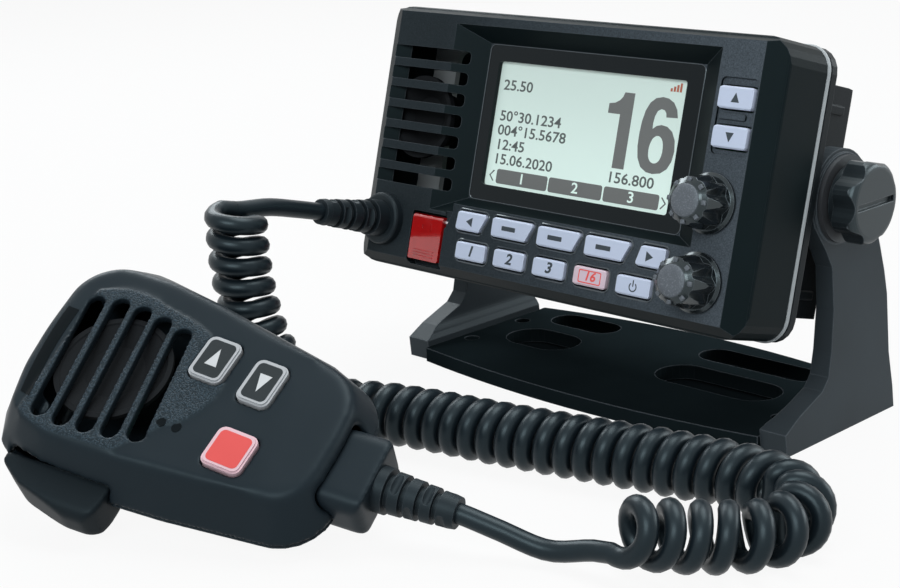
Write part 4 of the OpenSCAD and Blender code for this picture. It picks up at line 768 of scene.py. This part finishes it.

# the display window: a glossy black frame round the display with its painted glow, and what the display shows
windowLook = {"outer": (-38.4, -17.4, 51.9, 35.3, 2.1), "inner": (-33.8, -12.0, 45.6, 29.9, 1.0),
              "front": -7.0, "back": -8.6, "beadRadius": 0.22, "beadProud": 0.05}
displayLook = {
    "inkZ": (-8.89, -8.84),
    "numberLines": [("25.50", -31.9, 20.6), ("50°30.1234", -31.6, 10.2), ("004°15.5678", -31.6, 5.4),
                    ("12:45", -31.5, 0.5), ("15.06.2020", -31.5, -4.4), ("156.800", 18.4, -4.6)],
    "lineText": {"size": 4.9, "wide": 1.22, "bold": 0.06, "centre": False},
    "tabs": [(-29.0, -6.1), (-5.5, 17.4), (18.1, 40.6)], "tabY": (-11.0, -6.1), "tabCorner": 0.9,
    "tabText": {"size": 4.9, "wide": 1.2, "bold": 0.08}, "tabTextThick": 0.03,
    "arrows": [(-31.4, -1), (42.6, 1)],
    "arrow": [(0.9, 0), (-0.9, 1.9), (-1.35, 1.7), (0.3, 0), (-1.35, -1.7), (-0.9, -1.9)],
    "signal": {"x": 38.2, "y": 26.2, "pitch": 1.2, "wide": 0.8, "high": 1.0, "grow": 0.6, "bars": 4},
    "one": [(24.65, 24.3), (24.65, 0), (19.8, 0), (19.8, 17.2), (14.8, 17.2), (14.8, 20.3), (17.2, 20.7),
            (18.9, 21.6), (20.0, 22.8), (20.6, 24.3)],
    "six": [(42.7, 18.2), (42.0, 20.7), (40.4, 22.8), (38.2, 23.9), (35.9, 24.2), (33.2, 23.6), (31.2, 22.0),
            (29.8, 19.4), (29.0, 15.8), (28.7, 12.0), (28.8, 8.0), (29.5, 4.4), (31.2, 1.6), (33.6, 0.3), (36.2, 0.0),
            (39.2, 0.5), (41.5, 2.1), (42.9, 4.6), (43.4, 7.9), (42.9, 11.2), (41.4, 13.8), (39.2, 15.2),
            (36.9, 15.5), (35.0, 15.0), (33.6, 13.9)],
    "sixInner": [(33.5, 15.8), (33.8, 18.0), (34.6, 19.7), (35.9, 20.4), (37.2, 20.2), (38.0, 19.3), (38.3, 18.0)],
    "sixHole": [(36.1, 12.0), (34.5, 11.2), (33.6, 9.4), (33.3, 7.4), (33.6, 5.2), (34.6, 3.8), (36.1, 3.3),
                (37.6, 3.9), (38.5, 5.4), (38.8, 7.6), (38.5, 9.9), (37.6, 11.4)],
}


def makeWindow(settings):
    outer, inner = roundRect(*settings["outer"], 6), roundRect(*settings["inner"], 4)
    piece = joined("displayWindow", [flatMesh([outer, inner], settings["back"], settings["front"])])
    finishPiece(piece, "radio", look["lens"], ("lens",))
    beadZ = settings["front"] + settings["beadProud"]
    bead = beadPiece("windowBead", [outer], settings["beadRadius"], look["rim"], radioPlace, beadZ)
    finishPiece(bead, "radio")


def makeDisplay(settings):
    z0, z1 = settings["inkZ"]
    low, high = settings["tabY"]
    mid = (low + high) / 2

    def show(name, meshes, finish="ink"):
        finishPiece(joined(name, meshes), "radio", look[finish])

    def flat(*loops):
        return flatMesh(loops, z0, z1)

    show("channelNumber", [flat(settings["one"]),
                           flat(settings["six"] + settings["sixInner"], smoothLoop(settings["sixHole"], 3))])
    show("displayTabs", [flat(roundRect(a, low, b, high, settings["tabCorner"], 4)) for a, b in settings["tabs"]])
    rows = [textMesh(words, x, y, z0, z1, **settings["lineText"]) for words, x, y in settings["numberLines"]]
    for x, way in settings["arrows"]:
        rows.append(flat([(x + way * dx, mid + dy) for dx, dy in settings["arrow"]]))
    show("displayLines", rows, "thinInk")
    markTop = z1 + settings["tabTextThick"]
    show("displayTabMarks", [textMesh(str(i + 1), (a + b) / 2, mid, z1, markTop, **settings["tabText"])
                             for i, (a, b) in enumerate(settings["tabs"])], "display")
    signal, bars = settings["signal"], []
    for i in range(signal["bars"]):
        x0, y0 = signal["x"] + i * signal["pitch"], signal["y"]
        x1, y1 = x0 + signal["wide"], y0 + signal["high"] + i * signal["grow"]
        bars.append(flat([(x0, y0), (x1, y0), (x1, y1), (x0, y1)]))
    show("displaySignal", bars, "redInk")


makeWindow(windowLook)
makeDisplay(displayLook)
print("display ready")

# the keys of the panel: rims round their openings and the marks printed on them
keyLook = {
    "top": 1.0, "markSink": 0.01, "markThick": 0.035, "rimRadius": 0.3, "rimGrow": 0.75, "corner": 1.1,
    "softX": 9.5, "softPitch": 20.25, "softWide": 15.5, "softLean": 2.2, "row1Y": -25.1, "row1High": 6.5,
    "arrowWide": 11.0, "arrowLean": (0.3, 1.2), "arrowGap": 5.4, "arrowShift": 0.6,
    "row2X": 8.45, "row2Pitch": 17.5, "row2Wide": 13.3, "row2Y": -35.0, "row2High": 6.0,
    "sideX": 69.9, "sideY": (25.9, 14.15), "textShift": 0.1,
    "digits": {"size": 4.9, "wide": 1.15, "bold": 0.14, "slant": 0.2},
    "boxed": {"size": 4.1, "wide": 1.15, "bold": 0.1, "slant": 0.2},
}


def keyPlaces(k):
    # name, x, y, width, height, lean of the left end, lean of the right end
    x, y, high, wide = k["softX"], k["row1Y"], k["row1High"], k["arrowWide"]
    reach = k["softPitch"] + (k["softWide"] + wide) / 2 + k["arrowGap"]
    leanL, leanR = k["arrowLean"]
    out = [("left_key", x - reach, y, wide, high, leanL, k["softLean"])]
    out += [("soft_key_%d" % (i + 2), x + i * k["softPitch"], y, k["softWide"], high, 0, k["softLean"])
            for i in (-1, 0, 1)]
    out += [("right_key", x + reach, y, wide, high, leanR, 0)]
    low = ("menu_key_1", "menu_key_2", "menu_key_3", "calling_key", "power_key")
    out += [(name, k["row2X"] + (i - 2) * k["row2Pitch"], k["row2Y"], k["row2Wide"], k["row2High"], 0, 0)
            for i, name in enumerate(low)]
    return out


def makeKeyMarks(k):
    z0, z1, grow = k["top"] - k["markSink"], k["top"] + k["markThick"], k["rimGrow"]
    places = keyPlaces(k)
    rims = [keyOutline(x, y, w, h, l, r, grow, k["corner"] + grow) for _, x, y, w, h, l, r in places]
    finishPiece(beadPiece("keyRims", rims, k["rimRadius"], look["rim"], radioPlace), "radio")
    at = {name: (x, y) for name, x, y, *_ in places}

    def mark(body, *meshes, finish="keyInk"):
        finishPiece(joined(body + "_mark", meshes), body, look[finish])

    def flat(*loops):
        return flatMesh(loops, z0, z1)

    def number(words, x, y, text):
        return textMesh(words, x, y + k["textShift"], z0, z1, **text)

    for name, way in (("left_key", -1), ("right_key", 1)):
        x, y = at[name]
        x -= way * k["arrowShift"]
        mark(name, flat([(x + way * 1.6, y), (x - way * 1.2, y + 1.6), (x - way * 1.2, y - 1.6)]))
    for name in ("soft_key_1", "soft_key_2", "soft_key_3"):
        x, y = at[name]
        mark(name, flat(roundRect(x - 3.3, y - 0.7, x + 2.7, y + 0.8, 0.2, 2)))
    for i in (1, 2, 3):
        name = "menu_key_%d" % i
        mark(name, number(str(i), *at[name], k["digits"]))
    x, y = at["calling_key"]
    box = flat(roundRect(x - 4.6, y - 2.1, x + 4.6, y + 2.1, 0.6, 3),
               roundRect(x - 4.25, y - 1.75, x + 4.25, y + 1.75, 0.4, 3))
    mark("calling_key", box, number("16", x, y, k["boxed"]), finish="keyRed")
    x, y = at["power_key"]
    outer, inner = (arcPoints(x, y - 0.2, r, 128, 412, 22) for r in (1.55, 1.15))
    mark("power_key", flat(outer + list(reversed(inner))),
         flat(roundRect(x - 0.2, y - 0.1, x + 0.2, y + 2.0, 0.12, 2)))
    x = k["sideX"]
    for name, y, way in zip(("up_key", "down_key"), k["sideY"], (1, -1)):
        mark(name, flat([(x, y + way * 1.5), (x - 1.5, y - way * 1.4), (x + 1.5, y - way * 1.4)]))


makeKeyMarks(keyLook)
print("key marks ready")

# the pale edge of the gasket, in the seam behind the face
seamLook = {"halfWide": 83.2, "halfHigh": 45.05, "corner": 7.7, "height": -25.1, "radius": 0.92}


def makeSeam(settings):
    a, b = settings["halfWide"], settings["halfHigh"]
    loop = roundRect(-a, -b, a, b, settings["corner"], 8)
    bead = beadPiece("gasketEdge", [loop], settings["radius"], look["gasket"], radioPlace, settings["height"])
    finishPiece(bead, "radio")


makeSeam(seamLook)

# the rotary knobs: a textured cap on each, with pale nubs round the crown, partly the crown's paler lobe tops and
# partly painted highlight
dialLook = {"at": {"channel": (66.5, -6.0), "volume": (66.3, -30.0)}, "top": 13.0, "capRadius": 5.0, "lobes": 8,
            "nubRadius": 6.25, "nubDrop": 0.85, "nub": (1.5, 1.5, 0.9, 0.25)}


def makeDialTops(settings):
    top, r, lobes = settings["top"], settings["capRadius"], settings["lobes"]
    nub = softBlock("nubShape", *settings["nub"])
    crown = [(0, top + 0.32), (r * 0.6, top + 0.29), (r - 0.35, top + 0.2), (r - 0.1, top + 0.05),
             (r, top - 0.2), (0, top - 0.2)]
    out = Matrix.Translation((settings["nubRadius"], 0, top - settings["nubDrop"]))
    for name, (x, y) in settings["at"].items():
        place = radioPlace @ Matrix.Translation((x, y, 0))
        finishPiece(spunPiece(name + "Cap", crown, place, 48, 40), name + "_dial", look["knobCap"])
        # pale nubs on the lobes: partly paler lobe tops, partly painted highlight
        turns = [place @ Matrix.Rotation(2 * math.pi * i / lobes, 4, "Z") @ out for i in range(lobes)]
        finishPiece(repeatedPiece(name + "Nubs", nub, turns, look["knobCap"]), name + "_dial")


makeDialTops(dialLook)
print("dials ready")

# the red cover of the distress switch: ribs for a finger nail and a step at its hinge
coverLook = {"x": -49.15, "ribs": (-39.9, -38.9, -37.9), "ribZ": 0.2, "rib": (9.6, 0.45, 0.5, 0.15),
             "stepY": -30.6, "stepZ": (0.15, 0.45)}


def makeCoverRibs(settings):
    x, y = settings["x"], settings["stepY"]
    rib = softBlock("coverRibShape", *settings["rib"])
    places = [radioPlace @ Matrix.Translation((x, ribY, settings["ribZ"])) for ribY in settings["ribs"]]
    finishPiece(repeatedPiece("coverRibs", rib, places, look["red"]), "distress_cover")
    loops = [roundRect(x - 2.4, y - 0.2, x + 2.4, y + 2.2, 0.4, 3),
             roundRect(x - 1.9, y + 0.3, x + 1.9, y + 1.7, 0.3, 3)]
    step = joined("coverStep", [flatMesh(loops, *settings["stepZ"])])
    finishPiece(step, "distress_cover", look["red"])


makeCoverRibs(coverLook)

# the mouldings of the microphone: the solids with softened edges, but crisp round openings and at the seam
shellLook = {
    "mic_front_shell": {"voxel": 0.6, "passes": 90, "fade": 4.0, "seam": (-10.5, None),
                        "crisp": [(9, -23, 52, 26), (50, -22, 84.5, 21.5)]},
    "mic_back_shell": {"voxel": 0.75, "passes": 60, "fade": 3.0, "seam": (None, -18.0),
                       "crisp": [(7, 21, 17, 31), (7, -21, 17, -11), (87, 13, 97, 23), (87, -25, 97, -15),
                                 (38, -17, 52, -3)]},
    "talk_bar": {"voxel": 0.5, "passes": 40, "fade": 3.0, "seam": (None, None), "crisp": []},
    "cord_block": {"voxel": 0.5, "passes": 34, "fade": 3.0, "seam": (None, None), "crisp": []},
}


def makeShells(settings):
    for node, body, slotName, finish in (("mic_front_shell", "root", "mic_plastic", "mic"),
                                         ("mic_back_shell", "root", "mic_plastic", "mic"),
                                         ("talk_bar", "talk_bar", "talk_rubber", "talk"),
                                         ("cord_block", "root", "mic_plastic", "mic")):
        piece = softened(node + "_moulding", node, micPlace, settings[node])
        finishPiece(piece, body, look[finish], (node,))
        print(node, len(piece.data.polygons), "faces")


makeShells(shellLook)

# the blank plate beside the grille, and dark discs over the sound holes as painted shade for their dark insides, laid
# on the moulding
plateLook = {"corners": ((4.3, 16.4), (8.4, 16.0), (11.0, -16.6), (7.2, -15.6)), "bow": -1.0, "proud": 0.12,
             "thick": 0.5, "across": 6, "along": 24, "holes": ((53.0, -11.7), (57.9, -11.8)), "holeWide": 1.45,
             "holeHigh": 1.15, "holeProud": 0.08, "holeSink": 0.4}


def makePlate(settings):
    shell = bpy.data.objects["mic_front_shell_moulding"].data
    tree = BVHTree.FromPolygons([v.co.copy() for v in shell.vertices], [tuple(f.vertices) for f in shell.polygons])
    down = (micPlace.to_3x3() @ Vector((0, 0, -1))).normalized()
    back = micPlace.inverted()

    def onShell(x, y):
        return back @ (tree.ray_cast(onMic(x, y, 20), down)[0] / mm)

    (ax, ay), (bx, by), (cx, cy), (dx, dy) = settings["corners"]
    across, along, verts, faces = settings["across"], settings["along"], [], []
    for j in range(along + 1):
        v = j / along
        bow = settings["bow"] * 4 * v * (1 - v)
        for i in range(across + 1):
            u = i / across
            x = (ax + (bx - ax) * u) * (1 - v) + (dx + (cx - dx) * u) * v + bow
            y = (ay + (by - ay) * u) * (1 - v) + (dy + (cy - dy) * u) * v
            verts.append(onShell(x, y) + Vector((0, 0, settings["proud"])))
    count, row = len(verts), across + 1
    verts += [v - Vector((0, 0, settings["thick"])) for v in verts]
    for j in range(along):
        for i in range(across):
            a = j * row + i
            b = a + row
            faces += [(a, b, b + 1, a + 1), (count + a, count + a + 1, count + b + 1, count + b)]
    edge = ([i for i in range(across)] + [across + row * j for j in range(along)]
            + [across + row * along - i for i in range(across)] + [row * (along - j) for j in range(along)])
    faces += [(a, b, count + b, count + a) for a, b in zip(edge, edge[1:] + edge[:1])]
    piece = meshPiece("handsetPlate", verts, faces, micPlace, smooth=40)
    work = bmesh.new()
    work.from_mesh(piece.data)
    bmesh.ops.recalc_face_normals(work, faces=work.faces)
    work.to_mesh(piece.data)
    work.free()
    finishPiece(piece, "root", look["plate"])
    # dark discs over the sound holes: painted shade
    spots, wide, high = [], settings["holeWide"], settings["holeHigh"] * settings["holeWide"]
    for x, y in settings["holes"]:
        top = onShell(x + wide, y).z
        angles = [k * math.pi / 12 for k in range(24)]
        outline = [(x + wide * math.cos(a), y + high * math.sin(a)) for a in angles]
        spots.append(flatMesh([outline], top - settings["holeSink"], top + settings["holeProud"], micPlace))
    finishPiece(joined("soundHoles", spots), "root", look["plate"])


makePlate(plateLook)

# inlays and marks on the microphone's keys
micLook = {"keys": [("mic_up_key", 57.6, 12.5, 11.3, 15.0), ("mic_down_key", 74.8, 9.5, 10.7, 15.0),
                    ("mic_red_key", 76.5, -14.0, 13.0, 13.2)],
           "top": 1.4, "turn": -4.0, "inset": 1.3, "corner": 1.6, "sink": 0.05, "proud": 0.06, "markProud": 0.1,
           "ways": {"mic_up_key": 1, "mic_down_key": -1}}


def makeMicKeys(settings):
    top, inset, r = settings["top"], settings["inset"], settings["corner"]
    turn = Matrix.Rotation(math.radians(settings["turn"]), 4, "Z")
    for name, x, y, w, h in settings["keys"]:
        place = micPlace @ Matrix.Translation((x, y, 0)) @ turn
        a, b = w / 2 - inset, h / 2 - inset
        inlay = flatMesh([roundRect(-a, -b, a, b, r)], top - settings["sink"], top + settings["proud"], place)
        slotName, finish = ("red_key", "micRed") if name == "mic_red_key" else ("mic_key_grey", "micInlay")
        finishPiece(joined(name + "_inlay", [inlay]), name, look[finish])
        if name in settings["ways"]:
            way = settings["ways"][name]
            arrow = flatMesh([[(0, way * 3.6), (-2.0, -way * 2.6), (2.0, -way * 2.6)]],
                             top + settings["sink"], top + settings["markProud"], place)
            finishPiece(joined(name + "_mark", [arrow]), name, look["micMark"])


makeMicKeys(micLook)
nodes["mic_red_key"].data.materials[0] = look["micKeyPink"]
print("microphone ready")

# floor, a painted-shade sheet under the bracket, world and lamps
stageLook = {"floorSize": 6000, "floorZ": -0.05, "floorColour": (0.50, 0.51, 0.52), "world": 0.17,
             "worldColour": (0.88, 0.96, 1.0), "seenWhite": 0.92, "shadeColour": (0.004, 0.006, 0.007),
             "shade": [(-62.5, -12), (60, -12), (60, 33), (-62.5, 32.4)], "shadeZ": -0.02}


def seenRays(tree):
    # rays that show the background: to the eye, in gloss and through clear parts
    rays = addNode(tree, "ShaderNodeLightPath").outputs
    eyeOrGloss = mathOf(tree, "MAXIMUM", rays["Is Camera Ray"], rays["Is Glossy Ray"])
    return mathOf(tree, "MAXIMUM", eyeOrGloss, rays["Is Transmission Ray"])


def mixShaders(tree, factor, first, second, output):
    mix = feed(addNode(tree, "ShaderNodeMixShader"), {0: factor, 1: first.outputs[0], 2: second.outputs[0]})
    feed(tree.nodes[output], {"Surface": mix.outputs[0]})


def stagePiece(name, points, material):
    piece = meshPiece(name, points, [(0, 1, 2, 3)], worldPlace)
    piece.data.materials.append(material)


def makeStage(settings):
    pale, tree, shader = newMaterial("paleFloor")
    feed(shader, {"Base Color": (*settings["floorColour"], 1), "Roughness": 0.85, "Specular IOR Level": 0.1})
    seen = mathOf(tree, "MULTIPLY", seenRays(tree), settings["seenWhite"])
    mixShaders(tree, seen, shader, addNode(tree, "ShaderNodeEmission", Strength=1.0), "Material Output")
    size, z = settings["floorSize"], settings["floorZ"]
    stagePiece("floor", [(-size, -size, z), (size, -size, z), (size, size, z), (-size, size, z)], pale)
    # a near-black sheet under the bracket: painted shade, so that the floor seen through the bracket's windows is
    # dark
    dark, tree, shader = newMaterial("shadedFloor")
    feed(shader, {"Base Color": (*settings["shadeColour"], 1), "Specular IOR Level": 0.0})
    stagePiece("shadeUnderBracket", [(x, y, settings["shadeZ"]) for x, y in settings["shade"]], dark)
    world = bpy.data.worlds.new("studio")
    bpy.context.scene.world = world
    world.use_nodes = True
    tree = world.node_tree
    lit = feed(tree.nodes["Background"], {"Color": (*settings["worldColour"], 1), "Strength": settings["world"]})
    white = addNode(tree, "ShaderNodeBackground", Strength=1.0, Color=(1, 1, 1, 1))
    mixShaders(tree, seenRays(tree), lit, white, "World Output")


def makeLamp(name, place, target, size, power, colour):
    data = bpy.data.lights.new(name, "AREA")
    data.shape = "RECTANGLE"
    data.size, data.size_y = size
    data.energy = power
    data.color = colour
    lamp = addObject(name, data)
    lamp.location = Vector(place)
    lamp.rotation_euler = (Vector(target) - Vector(place)).to_track_quat("-Z", "Y").to_euler()


# place and target in metres, the size of the panel, its power in watts and its colour
lamps = {
    "keyLamp": ((0.45, -1.35, 0.95), (0, -0.05, 0.08), (1.1, 0.6), 16.5, (0.94, 0.98, 1.0)),
    "topLamp": ((0.1, 0.25, 1.3), (0, -0.08, 0.05), (1.0, 0.7), 14.5, (1, 1, 1)),
    "leftLamp": ((-0.9, 0.25, 0.75), (-0.05, -0.15, 0.05), (0.7, 0.4), 6, (0.92, 0.97, 1.0)),
    "backLamp": ((0.9, 1.3, 0.55), (0.05, 0, 0.05), (1.0, 0.6), 10, (0.94, 0.98, 1.0)),
}
makeStage(stageLook)
for name, values in lamps.items():
    makeLamp(name, *values)
bpy.context.scene.view_settings.view_transform = "Standard"
print("stage ready")
